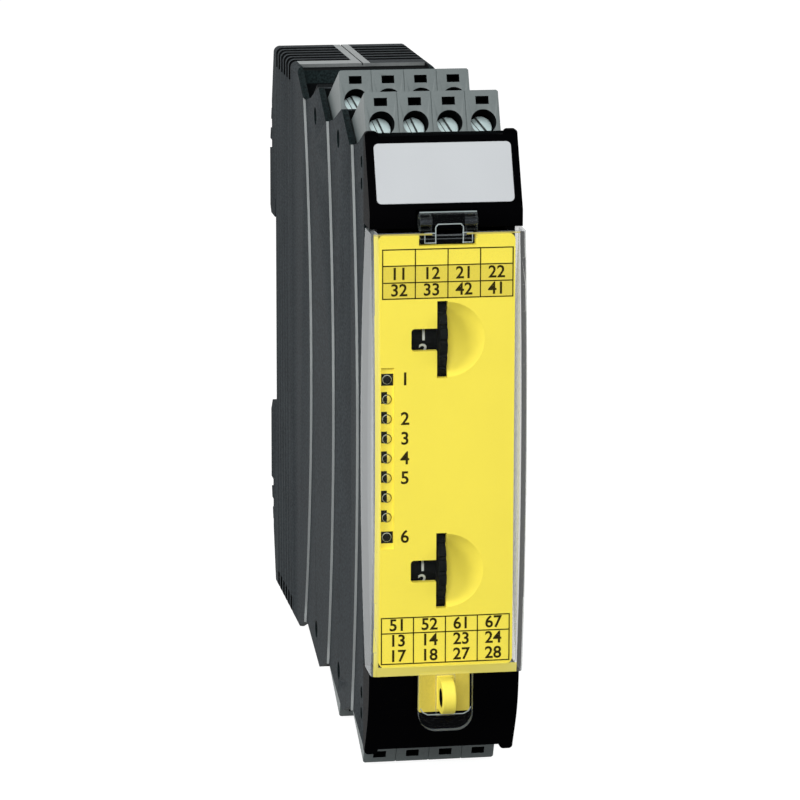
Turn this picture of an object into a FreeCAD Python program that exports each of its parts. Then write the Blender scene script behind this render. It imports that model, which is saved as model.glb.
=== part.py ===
"""Safety relay for a 35 mm top-hat rail, in a 22.5 mm wide plastic housing.

Frame: millimetres, +Z up, the front faces -Y, X is the width. The origin is the
middle of the rail seat, where the rail's flange rests. Places along the depth are
given as a distance forward of the housing's rear edge, and at() turns them into Y.
"""
import FreeCAD, Part
import math
import os

V = FreeCAD.Vector

# ---------------------------------------------------------------- housing
WIDTH = 22.5              # over the rear side panels
WALL = 1.2                # wall of the two half shells
MID_Z = -3.0              # the terminal tiers mirror about this height
HALF_HEIGHT = 46.5        # from MID_Z to the top and bottom decks
HOUSING_FRONT = 104.2     # front edge of the half shells
REAR_SLANT = 5.5          # the rear wall leans forward by this at the top
REAR_SLANT_HEIGHT = 17.5  # height of the leaning stretch
PANEL_STEP = 0.38         # each side panel starts this far inside the one behind it
STEP_RADIUS = 126.6       # bow of the first step line
STEP_AHEAD = 1.8          # a step line's foremost point, ahead of its tier's corner
DECK_EDGE_RADIUS = 1.0    # rounding along the rear decks' side edges
RIM_GAP = 0.2             # groove that shows along the parting line
RIM_DEPTH = 0.35

# ---------------------------------------------------------------- rail and latch
SEAT = 7.3                # depth of the rail recess
RAIL_WIDTH = 35.0         # over the rail's flanges
RAIL_FLANGE = 1.0         # thickness of the rail's flange
RAIL_CLEAR = 0.2          # room around the flange
HOOK_REACH = 2.9          # how far a hook reaches behind the flange
FOOT_WIDTH = 8.8
FOOT_BACK = 1.2           # rear face of the sliding foot
FOOT_PULL = 2.5           # the foot's pull end stands this far out of the lower deck
FOOT_TRAVEL = 3.2
FOOT_CLEAR = 0.3
FOOT_WINDOW = 15.5        # height of the spring window in the foot
FOOT_WINDOW_TOP = 26.0    # distance of the window's upper edge below the origin
SPRING_LENGTH = 10.5
SPRING_RADIUS = 1.3       # to the middle of the wire
SPRING_WIRE = 0.5
SPRING_PITCH = 1.5
PEG_HEIGHT = 1.5

# ---------------------------------------------------------------- vents and side holes
VENT_COUNT = 6
VENT_MARGIN = 3.9         # plain deck at each end of the comb
VENT_WIDTH = 1.9
VENT_WRAP = 3.2           # the slots run this far down the sides
CENTRE_RIB = 1.3          # half width of the rib between left and right slots
BACK_SLOT_COUNT = 4
BACK_SLOT_DEPTH = 2.5
BACK_SLOT_HEIGHT = 1.6
BACK_SLOT_PITCH = 3.5
CODING_HOLE = 2.8         # diameter of the round holes through the side panels
SMALL_HOLE = 1.8
SMALL_HOLE_PITCH = 3.2     # between the two small holes at the front
CODING_AHEAD = 6.9        # from a tier's corner forward to its coding hole
CODING_BELOW = 5.1        # from the deck down to the coding hole

# ---------------------------------------------------------------- terminal tiers
TILT = 25.0               # the plugs lean back by this angle
TIER_INSET = 7.8          # corner of the front tier's plug, behind the shells' front edge
TIER_PITCH = 24.7
TIER_RISE = 4.3           # a plug's corner stands this far above the deck
NOTCH_BACK = 5.0          # lowest point of the deck, behind a plug's corner
NOTCH_AHEAD = 1.3
NOTCH_DROP_TOP = 4.2
NOTCH_DROP_BOTTOM = 3.1
NOTCH_RISE = 1.2
PEAK_BACK = 13.6
PEAK_RADIUS = 1.2         # rounds the points between the tiers
POLES = 4
POLE_PITCH = 5.0
PLUG_WIDTH = 19.9
PLUG_DEPTH = 13.6
PLUG_HEIGHT = 13.4
PLUG_CLEAR = 0.25
PLUG_CHAMFER = 0.25
POCKET_WALL = 1.0

# ---------------------------------------------------------------- screw clamps
SCREW_HEAD = 3.5          # diameter
HEAD_CLEAR = 0.12         # radial, round the head
SCREW_HEAD_HEIGHT = 1.6
SCREW_SHANK = 2.5
SCREW_LENGTH = 4.4        # shank below the head
SCREW_SLOT = 0.6
SCREW_SLOT_DEPTH = 0.9
SCREW_CLEAR = 0.08        # radial running clearance
SCREW_RECESS = 3.0        # head below the plug's face
SCREW_DOWN = 4.85         # screw axis below the plug's upper edge
TEST_SLOT = (1.9, 1.2)
TEST_SLOT_DOWN = 1.55
TEST_SLOT_DEPTH = 3.0
CAGE_WIDTH = 4.2
CAGE_FRONT = 5.9          # behind the plug's face
CAGE_DEPTH = 5.6
CAGE_HEIGHT = 4.4
CAGE_WALL = 0.7
WIRE_MOUTH = 3.7          # square wire entry at the surface
WIRE_THROAT = 2.7
FUNNEL_DEPTH = 1.4
PIN = 1.0                 # square header pin
PIN_CLEAR = 0.2
PIN_REACH = 4.6           # pin length inside the plug
PIN_TAIL = 2.2
HEADER_HEIGHT = 4.0
HEADER_DEPTH = 9.0
HEADER_BACK = 3.2
HEADER_CLEAR = 0.1        # header inside the side walls
PIN_Y = 8.0               # pins behind the plug's face
WIRE_Y = CAGE_FRONT + CAGE_DEPTH / 2
BLANK_TOP = 5.6           # blanking insert below the missing plug's upper edge
BLANK_CLEAR = 0.1

# ---------------------------------------------------------------- front frame
CAP_DEPTH = 6.3           # from the shells' front edge to the caps' front plane
CAP_WIDTH = 22.3
CAP_GAP = 0.3             # between the shells and the caps
CAP_UNDER_DECK = 0.9      # upper cap below the upper deck
CAP_OVER_DECK = 0.6       # lower cap above the lower deck
UPPER_CAP = 12.7          # height of the upper cap
LOWER_CAP = 12.9
CAP_STRAIGHT = 2.4        # upright part of the upper cap's face
CAP_TOP_LEAN = 4.7        # the rest of it leans back by this
CAP_BOTTOM_LEAN = 4.6
CAP_BEND = 6.0            # where the lower cap's face bends back, below the window
CAP_BEND_RADIUS = 18.0
LUG_WIDTH = 2.0
LUG_RISE = 0.7            # the lugs stand out of the caps' ends
LUG_RADIUS = 0.6
RAIL_OUT = 10.05          # outer faces of the frame's side rails
RAIL_IN = 8.6
SPIGOT = 2.4              # the frame reaches this far into the housing
SPIGOT_HALF_X = 9.25
SPIGOT_WALL = 1.2
BOW = 4.4                 # the rear edges of the cover's sides bulge back by this
SHELL_HOLLOW = 2.4        # the shells' front edge is hollowed by this beside the cover
LABEL_WIDTH = 20.0
LABEL_HEIGHT = 8.2
LABEL_MARGIN = 1.0        # below the cap's upper edge
LABEL_THICK = 0.25
LABEL_RADIUS = 0.7

# ---------------------------------------------------------------- clear cover
COVER_WALL = 1.0
COVER_GAP = 0.3
COVER_SIDE = 6.1          # depth of the cover's sides at its ends
COVER_BULGE = 2.2         # the front bulges by this at mid height
COVER_PROUD = 2.5         # the cover's ends stand this far in front of the caps
COVER_EDGE_RADIUS = 0.8
HINGE_AHEAD = 1.0         # hinge axis in front of the cap's plane
HINGE_RISE = 1.1          # and above the cover's upper edge line
PIN_RADIUS = 0.6
PIN_RUNNING = 0.05
KNUCKLE_RADIUS = 1.25
TAB_WIDTH = 8.3
TAB_SLOT = 5.0
TONGUE_WIDTH = 8.0
TONGUE_LENGTH = 8.6
TONGUE_THICK = 1.1
TONGUE_RADIUS = 2.5
TONGUE_LIFT = 0.3
TONGUE_RECESS = 1.2       # depth of the lower cap's recess behind the tongue
COVER_BOTTOM_WALL = 0.5

# ---------------------------------------------------------------- faceplate
PLATE_PROUD = 0.9         # in front of the caps' plane
PLATE_THICK = 1.2
PLATE_HALF = 9.9
PLATE_MARGIN_TOP = 0.8    # to the caps
PLATE_MARGIN_LOW = 1.1
PLATE_RADIUS = 1.0
PLATE_NOTCH = (8.3, 1.6)
LED_COUNT = 9
LED_PITCH = 2.92
LED_LOW = 0.23            # the column's middle below the middle between the switches
GUIDE_BAR_AHEAD = 6.0     # front of the light guides' bar in front of the board
GUIDE_BAR = 2.0           # its thickness
LED_X = -8.7
GUIDE_RADIUS = 0.7
LED_SINK = 0.4            # depth of the strip's recess
LED_HEIGHT = 0.7
LED_SLOT = (-9.6, -7.7)   # left and right edge of the strip
LED_SLOT_END = 1.75       # strip beyond the first and the last light
EYELET_THICK = 2.0
EYELET_DROP = 0.7         # the arch below the caps' edge line
EYELET_HEIGHT = 5.0
EYELET_REACH = 3.4        # in front of the tongue
EYELET_HOLE = 1.3         # radius
EYELET_FOOT = 0.4         # the eyelet's base reaches this far below the arch

# ---------------------------------------------------------------- thumbwheel switches
UPPER_SWITCH = 15.3       # wheel axis below the faceplate's upper end
LOWER_SWITCH = 14.4       # wheel axis above its lower end
WHEEL_RADIUS = 6.9
WHEEL_PROUD = 1.4         # the wheel stands this far out of the faceplate
WHEEL_X = (-1.25, -0.1)
WHEEL_TEETH = 20
TOOTH_DEPTH = 0.35
DRUM_RADIUS = 4.0
DRUM_X = (-5.6, -1.25)
HUB_RADIUS = 1.4
SLIT = (-1.45, 0.1, 11.3)  # left, right and height
DIGIT_WINDOW = (-5.2, 3.3)  # left edge and height
DISH_SPHERE = 8.4
DISH_RADIUS = 5.5
DISH_SKIN = 0.8
SWITCH_BODY = (-6.9, 3.4)
SWITCH_HALF = 8.0
SWITCH_SUNK = 3.2         # the switch boxes' front behind the faceplate's front
SWITCH_WALL = 0.9
WHEEL_CLEAR = 0.35
HUB_RUNNING = 0.05

# ---------------------------------------------------------------- electronics
BOARD = 1.6
FRONT_BOARD_DEPTH = 18.4  # front face of the front board behind the faceplate's front
FRONT_BOARD_MARGIN = 19.3  # the boards' ends below the decks
MAIN_BOARD_X = -8.3       # left face of the main board
MAIN_BOARD_LENGTH = 67.5
BOARD_GAP = 1.9           # between the main board and the front board
MAIN_BOARD_MARGIN = 20.5
POST_RADIUS = 1.5
RELAY = (13.6, 12.8)      # height off the board and depth
RELAY_MARGIN = 6.5        # to the board's ends
RELAY_FIRST = 4.0         # rear relay from the main board's rear edge
RELAY_PITCH = 15.0
TRANSFORMER = (13.0, 15.0, 17.0)
TRANSFORMER_BACK = 38.0   # from the main board's rear edge
CAPACITOR_RADIUS = 4.0
CAPACITOR_HEIGHT = 12.0
CAPACITOR_BACK = 41.0
CAPACITOR_LOW = 12.0      # below the board's middle
LINK = (5.0, 6.0, 20.0)   # connector between the boards

# ---------------------------------------------------------------- derived places
HALF = WIDTH / 2
INNER_X = HALF - PANEL_STEP - WALL     # inner face of the side walls
DECK_TOP = MID_Z + HALF_HEIGHT
DECK_BOTTOM = MID_Z - HALF_HEIGHT
TIERS = [HOUSING_FRONT - TIER_INSET - TIER_PITCH * (2 - index) for index in range(3)]
FIRST_STEP = TIERS[0] + STEP_AHEAD
STEP_CENTRE = FIRST_STEP - STEP_RADIUS  # the step lines share this centre of bow
VENT_FIRST = REAR_SLANT + VENT_MARGIN
VENT_PITCH = (TIERS[0] - PEAK_BACK - VENT_FIRST - VENT_MARGIN - VENT_WIDTH / 2) / VENT_COUNT
FOOT_BOTTOM = FOOT_PULL - DECK_BOTTOM   # distance below the origin
POLE_X = [POLE_PITCH * (index - (POLES - 1) / 2) for index in range(POLES)]
POCKET_HEIGHT = PLUG_HEIGHT + PLUG_CLEAR
FLOOR = POCKET_HEIGHT + POCKET_WALL
CAP_FRONT = HOUSING_FRONT + CAP_DEPTH
CAP_BACK = HOUSING_FRONT + CAP_GAP
CAP_TOP = DECK_TOP - CAP_UNDER_DECK
CAP_BOTTOM = DECK_BOTTOM + CAP_OVER_DECK
LUG_TOP = CAP_TOP + LUG_RISE
LUG_BOTTOM = CAP_BOTTOM - LUG_RISE
WINDOW_TOP = CAP_TOP - UPPER_CAP        # the cover fills the stretch between the caps
WINDOW_BOTTOM = CAP_BOTTOM + LOWER_CAP
LEAN_START = WINDOW_TOP + CAP_STRAIGHT
HINGE = CAP_FRONT + HINGE_AHEAD
HINGE_Z = WINDOW_TOP + HINGE_RISE
COVER_HIGH = WINDOW_TOP - COVER_GAP
COVER_LOW = WINDOW_BOTTOM + COVER_GAP
COVER_END = CAP_FRONT + COVER_PROUD
COVER_CROWN = COVER_END + COVER_BULGE
COVER_BACK = COVER_END - COVER_SIDE
TONGUE_BOTTOM = WINDOW_BOTTOM - TONGUE_LENGTH
TONGUE_FLOOR = CAP_FRONT - TONGUE_RECESS
TONGUE_BACK = CAP_FRONT + TONGUE_LIFT
EYELET_TOP = WINDOW_BOTTOM - EYELET_DROP
EYELET_BOTTOM = EYELET_TOP - EYELET_HEIGHT
PLATE_FRONT = CAP_FRONT + PLATE_PROUD
PLATE_BACK = PLATE_FRONT - PLATE_THICK
PLATE_TOP = WINDOW_TOP - PLATE_MARGIN_TOP
PLATE_BOTTOM = WINDOW_BOTTOM + PLATE_MARGIN_LOW
SWITCH_Z = (PLATE_TOP - UPPER_SWITCH, PLATE_BOTTOM + LOWER_SWITCH)
LED_FIRST = sum(SWITCH_Z) / 2 - LED_LOW + LED_PITCH * (LED_COUNT - 1) / 2
LED_Z = [LED_FIRST - LED_PITCH * index for index in range(LED_COUNT)]
WHEEL_AXIS = PLATE_FRONT + WHEEL_PROUD - WHEEL_RADIUS
SWITCH_FRONT = PLATE_FRONT - SWITCH_SUNK
FRONT_BOARD = PLATE_FRONT - FRONT_BOARD_DEPTH   # front face
FRONT_BOARD_HALF = HALF_HEIGHT - FRONT_BOARD_MARGIN
MAIN_BOARD_FRONT = FRONT_BOARD - BOARD - BOARD_GAP
MAIN_BOARD_REAR = MAIN_BOARD_FRONT - MAIN_BOARD_LENGTH
MAIN_BOARD_HALF = HALF_HEIGHT - MAIN_BOARD_MARGIN
BEYOND = 2 * HOUSING_FRONT              # past every piece, for cuts that run through


def at(x, forward, z):
    """A point from its width, its distance forward of the rear edge and its height."""
    return V(x, SEAT - forward, z)


def block(x0, x1, forward0, forward1, z0, z1):
    """A box between two widths, two forward distances and two heights."""
    return Part.makeBox(x1 - x0, forward1 - forward0, z1 - z0, at(x0, forward1, z0))


def face_of(points, x=0.0):
    """A flat face across X from (forward, z) points."""
    return Part.Face(Part.makePolygon([at(x, *p) for p in points + points[:1]]))


def through(x0, x1, z0, z1):
    """A box that runs forward through everything from inside the front of the housing."""
    return block(x0, x1, FRONT_BOARD, BEYOND, z0, z1)


def prism(points, x0, x1):
    """A polygon of (forward, z) points, extruded along the width."""
    return face_of(points, x0).extrude(V(x1 - x0, 0, 0))


def cross_rod(radius, x0, x1, forward, z):
    """A cylinder along the width."""
    return Part.makeCylinder(radius, x1 - x0, at(x0, forward, z), V(1, 0, 0))


def ahead_rod(radius, forward0, forward1, x, z):
    """A cylinder along the depth."""
    return Part.makeCylinder(radius, forward1 - forward0, at(x, forward0, z), V(0, -1, 0))


def fuse(shapes):
    """One solid from several that share faces or overlap."""
    return shapes[0].multiFuse(shapes[1:]).removeSplitter() if len(shapes) > 1 else shapes[0]


def edges_along(shape, direction, where):
    """The shape's straight edges along a direction whose middle passes a test."""
    found = []
    for edge in shape.Edges:
        if edge.Curve.TypeId != "Part::GeomLine":
            continue
        if abs(abs(edge.Curve.Direction.dot(direction)) - 1) < 1e-6 and where(edge.CenterOfMass):
            found.append(edge)
    return found


def mirror_z(shape):
    """The same shape on the other side of the tiers' mirror height."""
    return shape.mirror(V(0, 0, MID_Z), V(0, 0, 1))


def in_tier(shape, tier, side):
    """Places a shape made in a plug's own frame at a tier's upper front corner.

    In that frame X is the width, +Y runs back from the screw face, +Z is the way the
    plug pulls off, and the origin is the middle of the corner between the two faces.
    """
    placed = shape.copy()
    placed.rotate(V(0, 0, 0), V(1, 0, 0), -TILT)
    placed.translate(at(0, tier, MID_Z + HALF_HEIGHT + TIER_RISE))
    return placed if side > 0 else mirror_z(placed)


def slab(x0, x1, y0, y1, z0, z1):
    """A box in a plug's own frame."""
    return Part.makeBox(x1 - x0, y1 - y0, z1 - z0, V(x0, y0, z0))


# ---------------------------------------------------------------- housing
def deck(side):
    """The (forward, z) points of the upper or lower edge, from the rear to the front."""
    drop = NOTCH_DROP_TOP if side > 0 else NOTCH_DROP_BOTTOM
    points = [(0.0, HALF_HEIGHT - REAR_SLANT_HEIGHT), (REAR_SLANT, HALF_HEIGHT)]
    for tier in TIERS:
        points += [(tier - PEAK_BACK, HALF_HEIGHT), (tier - NOTCH_BACK, HALF_HEIGHT - drop),
                   (tier + NOTCH_AHEAD, HALF_HEIGHT - drop + NOTCH_RISE)]
    points.append((HOUSING_FRONT, HALF_HEIGHT - 0.6))
    return [(forward, MID_Z + side * height) for forward, height in points]


def rail_recess():
    """The side view of the rail recess, from its lower end up round the fixed hook."""
    half = RAIL_WIDTH / 2 + RAIL_CLEAR
    flange = SEAT - RAIL_FLANGE - RAIL_CLEAR
    hook = RAIL_WIDTH / 2 - HOOK_REACH
    return [(0.0, -half - 2.0), (2.0, -half), (SEAT, -half), (SEAT, half), (flange, half),
            (flange, hook), (1.2, hook), (0.0, hook + 1.2)]


def outline():
    """The housing's whole side view, as (forward, z) points."""
    return deck(+1) + deck(-1)[::-1] + rail_recess()


def panel_wedge(index):
    """What is taken off a side to leave a panel that flares out as it runs forward."""
    inner = STEP_RADIUS + TIER_PITCH * index
    outer = inner + TIER_PITCH
    corners = [(HALF - PANEL_STEP, inner), (HALF, outer), (HALF + 1, outer), (HALF + 1, inner)]
    ring = [at(x, STEP_CENTRE + radius, MID_Z) for x, radius in corners]
    face = Part.Face(Part.makePolygon(ring + ring[:1]))
    axis = at(0, STEP_CENTRE, MID_Z)
    face.rotate(axis, V(1, 0, 0), -25)
    return face.revolve(axis, V(1, 0, 0), 50)


def vents(side):
    """The comb of slots through a deck, its corners and the leaning rear wall."""
    low, high = (MID_Z + HALF_HEIGHT - VENT_WRAP, MID_Z + HALF_HEIGHT + 1)
    cuts = []
    for index in range(VENT_COUNT):
        middle = VENT_FIRST + VENT_PITCH * index
        cuts.append(block(CENTRE_RIB, HALF + 1, middle - VENT_WIDTH / 2, middle + VENT_WIDTH / 2,
                          low, high))
    for index in range(BACK_SLOT_COUNT):
        middle = MID_Z + HALF_HEIGHT - REAR_SLANT_HEIGHT + BACK_SLOT_PITCH * index + 0.4
        cuts.append(block(CENTRE_RIB, HALF + 1, -1, BACK_SLOT_DEPTH,
                          middle - BACK_SLOT_HEIGHT / 2, middle + BACK_SLOT_HEIGHT / 2))
    return cuts if side > 0 else [mirror_z(cut) for cut in cuts]


def pocket(tier, side, grow=0.0):
    """The space that holds a plug, or, grown by a wall, the shell around it."""
    height = POCKET_HEIGHT + grow
    top = 12.0  # well past the deck
    space = slab(-PLUG_WIDTH / 2 - PLUG_CLEAR - grow, PLUG_WIDTH / 2 + PLUG_CLEAR + grow,
                 -PLUG_CLEAR - grow, PLUG_DEPTH + PLUG_CLEAR + grow, -height, top)
    return in_tier(space, tier, side)


def header_window(tier, side):
    """The hole in a pocket's floor that holds the header."""
    half = INNER_X - HEADER_CLEAR
    hole = slab(-half, half, HEADER_BACK, HEADER_BACK + HEADER_DEPTH, -FLOOR - 1, -POCKET_HEIGHT + 1)
    return in_tier(hole, tier, side)


def front_bow():
    """The hollow in the front edge of the side walls, beside the cover."""
    upper, lower = WINDOW_TOP - 2.5, WINDOW_BOTTOM + 3.0
    arc = Part.Arc(at(0, HOUSING_FRONT, upper), at(0, HOUSING_FRONT - SHELL_HOLLOW, (upper + lower) / 2),
                   at(0, HOUSING_FRONT, lower)).toShape()
    lid = [at(0, HOUSING_FRONT, lower), at(0, HOUSING_FRONT + 2, lower),
           at(0, HOUSING_FRONT + 2, upper), at(0, HOUSING_FRONT, upper)]
    edges = [arc] + Part.makePolygon(lid).Edges
    face = Part.Face(Part.Wire(edges))
    face.translate(V(-HALF - 1, 0, 0))
    return face.extrude(V(WIDTH + 2, 0, 0))


def foot_channel(grow_x=0.0, grow_front=0.0):
    """The slideway of the rail foot, or, grown, the walls around it."""
    return block(-FOOT_WIDTH / 2 - FOOT_CLEAR - grow_x, FOOT_WIDTH / 2 + FOOT_CLEAR + grow_x,
                 FOOT_BACK - FOOT_CLEAR, SEAT - RAIL_FLANGE + grow_front,
                 MID_Z - HALF_HEIGHT - 1, -RAIL_WIDTH / 2 + 6)


def spring_peg():
    """The fixed peg that the latch spring stands on."""
    top = -FOOT_WINDOW_TOP - SPRING_LENGTH
    return block(-SPRING_RADIUS - 0.2, SPRING_RADIUS + 0.2, FOOT_BACK - FOOT_CLEAR, SEAT,
                 top - PEG_HEIGHT, top)


def housing_pair():
    """The left and right half shells."""
    side_view = face_of(outline(), -HALF)
    shell = side_view.extrude(V(WIDTH, 0, 0))
    rear_decks = edges_along(shell, V(0, 1, 0),
                             lambda p: abs(p.x) > HALF - 0.01 and abs(p.z - MID_Z) > HALF_HEIGHT - 0.01)
    shell = shell.makeFillet(DECK_EDGE_RADIUS, rear_decks)
    peaks = edges_along(shell, V(1, 0, 0),
                        lambda p: SEAT - p.y > TIERS[0] and abs(p.z - MID_Z) > HALF_HEIGHT - 0.01)
    shell = shell.makeFillet(PEAK_RADIUS, peaks)
    cuts = [panel_wedge(index) for index in range(3)]
    shell = shell.cut(cuts + [cut.mirror(V(0, 0, 0), V(1, 0, 0)) for cut in cuts])

    hollow = side_view.makeOffset2D(-WALL, 2)
    hollow.translate(V(HALF - INNER_X, 0, 0))
    hollow = hollow.extrude(V(2 * INNER_X, 0, 0))
    body = shell.cut(hollow)

    inside = [pocket(tier, side, POCKET_WALL) for tier in TIERS for side in (1, -1)]
    inside.append(foot_channel(WALL, WALL))
    body = body.multiFuse([piece.common(shell) for piece in inside])

    body = body.cut([pocket(tier, side) for tier in TIERS for side in (1, -1)])
    body = body.cut([header_window(tier, side) for tier in TIERS[1:] for side in (1, -1)])
    body = body.cut(foot_channel())
    body = body.multiFuse([spring_peg()] + board_posts())
    mouth = block(-SPIGOT_HALF_X - 0.05, SPIGOT_HALF_X + 0.05, HOUSING_FRONT - SPIGOT - 2,
                  HOUSING_FRONT + 1, WINDOW_BOTTOM + 2.0, WINDOW_TOP - 1.0)
    body = body.cut([mouth, front_bow()])
    slots = vents(1) + vents(-1)
    body = body.cut(slots + [slot.mirror(V(0, 0, 0), V(1, 0, 0)) for slot in slots])
    body = body.cut(coding_holes())
    groove = block(-RIM_GAP / 2, RIM_GAP / 2, -1, TIERS[0] - PEAK_BACK + 1,
                   DECK_TOP - RIM_DEPTH, DECK_TOP + 1)
    body = body.cut([groove, mirror_z(groove)])
    left = body.common(block(-HALF - 1, 0, -1, HOUSING_FRONT + 1, -BEYOND, BEYOND))
    right = body.common(block(0, HALF + 1, -1, HOUSING_FRONT + 1, -BEYOND, BEYOND))
    return left.removeSplitter(), right.removeSplitter()


def coding_holes():
    """Round holes through the side panels, ahead of each tier."""
    holes = []
    height = HALF_HEIGHT - CODING_BELOW
    for side in (1, -1):
        for tier in TIERS[:2]:
            holes.append(cross_rod(CODING_HOLE / 2, -HALF - 1, HALF + 1, tier + CODING_AHEAD,
                                   MID_Z + side * height))
        front = TIERS[2] + CODING_AHEAD - 1.6
        for drop in (0.0, SMALL_HOLE_PITCH):
            holes.append(cross_rod(SMALL_HOLE / 2, -HALF - 1, HALF + 1, front,
                                   MID_Z + side * (height - drop)))
    return holes


def board_posts():
    """Four posts on the left wall that carry the main board."""
    inset = 3.0
    posts = []
    for forward in (MAIN_BOARD_REAR + inset, MAIN_BOARD_FRONT - inset):
        for z in (MID_Z - MAIN_BOARD_HALF + inset, MID_Z + MAIN_BOARD_HALF - inset):
            posts.append(cross_rod(POST_RADIUS, -INNER_X - WALL / 2, MAIN_BOARD_X, forward, z))
    return posts


# ---------------------------------------------------------------- rail foot
def rail_foot():
    """The sliding foot: hook at the top, spring window, pull slot at the bottom."""
    front = SEAT - RAIL_FLANGE - FOOT_CLEAR
    hook = RAIL_WIDTH / 2 - HOOK_REACH
    foot = prism([(FOOT_BACK, -FOOT_BOTTOM), (front, -FOOT_BOTTOM), (front, -hook),
                  (front - 1.6, -hook), (FOOT_BACK, -hook - 3.0)], -FOOT_WIDTH / 2, FOOT_WIDTH / 2)
    half = SPRING_RADIUS + SPRING_WIRE / 2 + 0.25
    window = block(-half, half, 0, SEAT, -FOOT_WINDOW_TOP - FOOT_WINDOW, -FOOT_WINDOW_TOP)
    pull = block(-2.2, 2.2, 0, SEAT, 1.4 - FOOT_BOTTOM, 2.9 - FOOT_BOTTOM)
    return foot.cut([window, pull])


def foot_spring():
    """The compression spring between the fixed peg and the foot's window."""
    length = SPRING_LENGTH - SPRING_WIRE - 0.1
    helix = Part.makeHelix(SPRING_PITCH, length, SPRING_RADIUS)
    section = Part.Wire(Part.makeCircle(SPRING_WIRE / 2, V(SPRING_RADIUS, 0, 0), V(0, 1, 0)))
    spring = Part.Wire(helix).makePipeShell([section], True, True)
    middle = (FOOT_BACK + SEAT - RAIL_FLANGE - FOOT_CLEAR) / 2
    spring.translate(at(0, middle, -FOOT_WINDOW_TOP - SPRING_LENGTH + SPRING_WIRE / 2 + 0.05))
    return spring


# ---------------------------------------------------------------- plugs and headers
def plug():
    """A four-pole plug in its own frame: screw face at Y 0, wire face at Z 0."""
    half = PLUG_WIDTH / 2
    body = slab(-half, half, 0, PLUG_DEPTH, -PLUG_HEIGHT, 0)
    ends = edges_along(body, V(0, 1, 0), lambda p: p.z > -0.01)
    body = body.makeChamfer(PLUG_CHAMFER, ends)
    cage_top = -SCREW_DOWN + CAGE_HEIGHT / 2
    cuts = []
    for x in POLE_X:
        screw_y = SCREW_RECESS + SCREW_HEAD_HEIGHT
        cuts.append(Part.makeCylinder(SCREW_HEAD / 2 + HEAD_CLEAR, screw_y + 0.2,
                                      V(x, 0, -SCREW_DOWN), V(0, 1, 0)))
        cuts.append(Part.makeCylinder(SCREW_SHANK / 2 + SCREW_CLEAR, CAGE_FRONT,
                                      V(x, 0, -SCREW_DOWN), V(0, 1, 0)))
        cuts.append(slab(x - CAGE_WIDTH / 2, x + CAGE_WIDTH / 2, CAGE_FRONT,
                         CAGE_FRONT + CAGE_DEPTH, cage_top - CAGE_HEIGHT, cage_top))
        cuts.append(slab(x - TEST_SLOT[0] / 2, x + TEST_SLOT[0] / 2, -1, TEST_SLOT_DEPTH,
                         -TEST_SLOT_DOWN - TEST_SLOT[1] / 2, -TEST_SLOT_DOWN + TEST_SLOT[1] / 2))
        cuts.append(wire_funnel(x))
        hole = PIN / 2 + PIN_CLEAR
        cuts.append(slab(x - hole, x + hole, PIN_Y - hole, PIN_Y + hole,
                         -PLUG_HEIGHT - 1, -PLUG_HEIGHT + PIN_REACH + PIN_CLEAR))
    for x in (-POLE_PITCH, 0.0, POLE_PITCH):
        cuts.append(slab(x - 0.06, x + 0.06, -1, 0.12, -PLUG_HEIGHT, 1))
    return body.cut(cuts)


def wire_funnel(x):
    """A square wire entry that narrows to its throat and runs down into the cage."""
    def square(half, z):
        corners = [V(x - half, WIRE_Y - half, z), V(x + half, WIRE_Y - half, z),
                   V(x + half, WIRE_Y + half, z), V(x - half, WIRE_Y + half, z)]
        return Part.makePolygon(corners + corners[:1])
    mouth = Part.makeLoft([square(WIRE_MOUTH / 2, 0), square(WIRE_THROAT / 2, -FUNNEL_DEPTH)],
                          True, True)
    half = WIRE_THROAT / 2
    throat = slab(x - half, x + half, WIRE_Y - half, WIRE_Y + half,
                  -SCREW_DOWN, -FUNNEL_DEPTH + 0.01)
    return mouth.fuse(throat)


def cages():
    """The four clamp cages of a plug, each a square tube with a tapped front wall."""
    pieces = []
    for x in POLE_X:
        half = CAGE_WIDTH / 2 - 0.05
        low = -SCREW_DOWN - CAGE_HEIGHT / 2 + 0.05
        cage = slab(x - half, x + half, CAGE_FRONT, CAGE_FRONT + CAGE_DEPTH, low, low + CAGE_HEIGHT - 0.1)
        tube = slab(x - half + CAGE_WALL, x + half - CAGE_WALL, CAGE_FRONT + CAGE_WALL,
                    CAGE_FRONT + CAGE_DEPTH - CAGE_WALL, low + CAGE_WALL, low + CAGE_HEIGHT)
        tapped = Part.makeCylinder(SCREW_SHANK / 2 + SCREW_CLEAR, CAGE_FRONT + CAGE_WALL + 0.5,
                                   V(x, 0, -SCREW_DOWN), V(0, 1, 0))
        pieces.append(cage.cut([tube, tapped]))
    return Part.makeCompound(pieces)


def screw(x):
    """A slotted cheese-head screw in a plug's own frame."""
    head = Part.makeCylinder(SCREW_HEAD / 2, SCREW_HEAD_HEIGHT, V(x, SCREW_RECESS, -SCREW_DOWN),
                             V(0, 1, 0))
    rim = [edge for edge in head.Edges if abs(edge.CenterOfMass.y - SCREW_RECESS) < 1e-6]
    head = head.makeChamfer(0.2, rim)
    shank = Part.makeCylinder(SCREW_SHANK / 2, SCREW_LENGTH,
                              V(x, SCREW_RECESS + SCREW_HEAD_HEIGHT, -SCREW_DOWN), V(0, 1, 0))
    slot = slab(x - SCREW_SLOT / 2, x + SCREW_SLOT / 2, SCREW_RECESS - 1,
                SCREW_RECESS + SCREW_SLOT_DEPTH, -SCREW_DOWN - 3, -SCREW_DOWN + 3)
    return head.fuse(shank).cut(slot)


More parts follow.
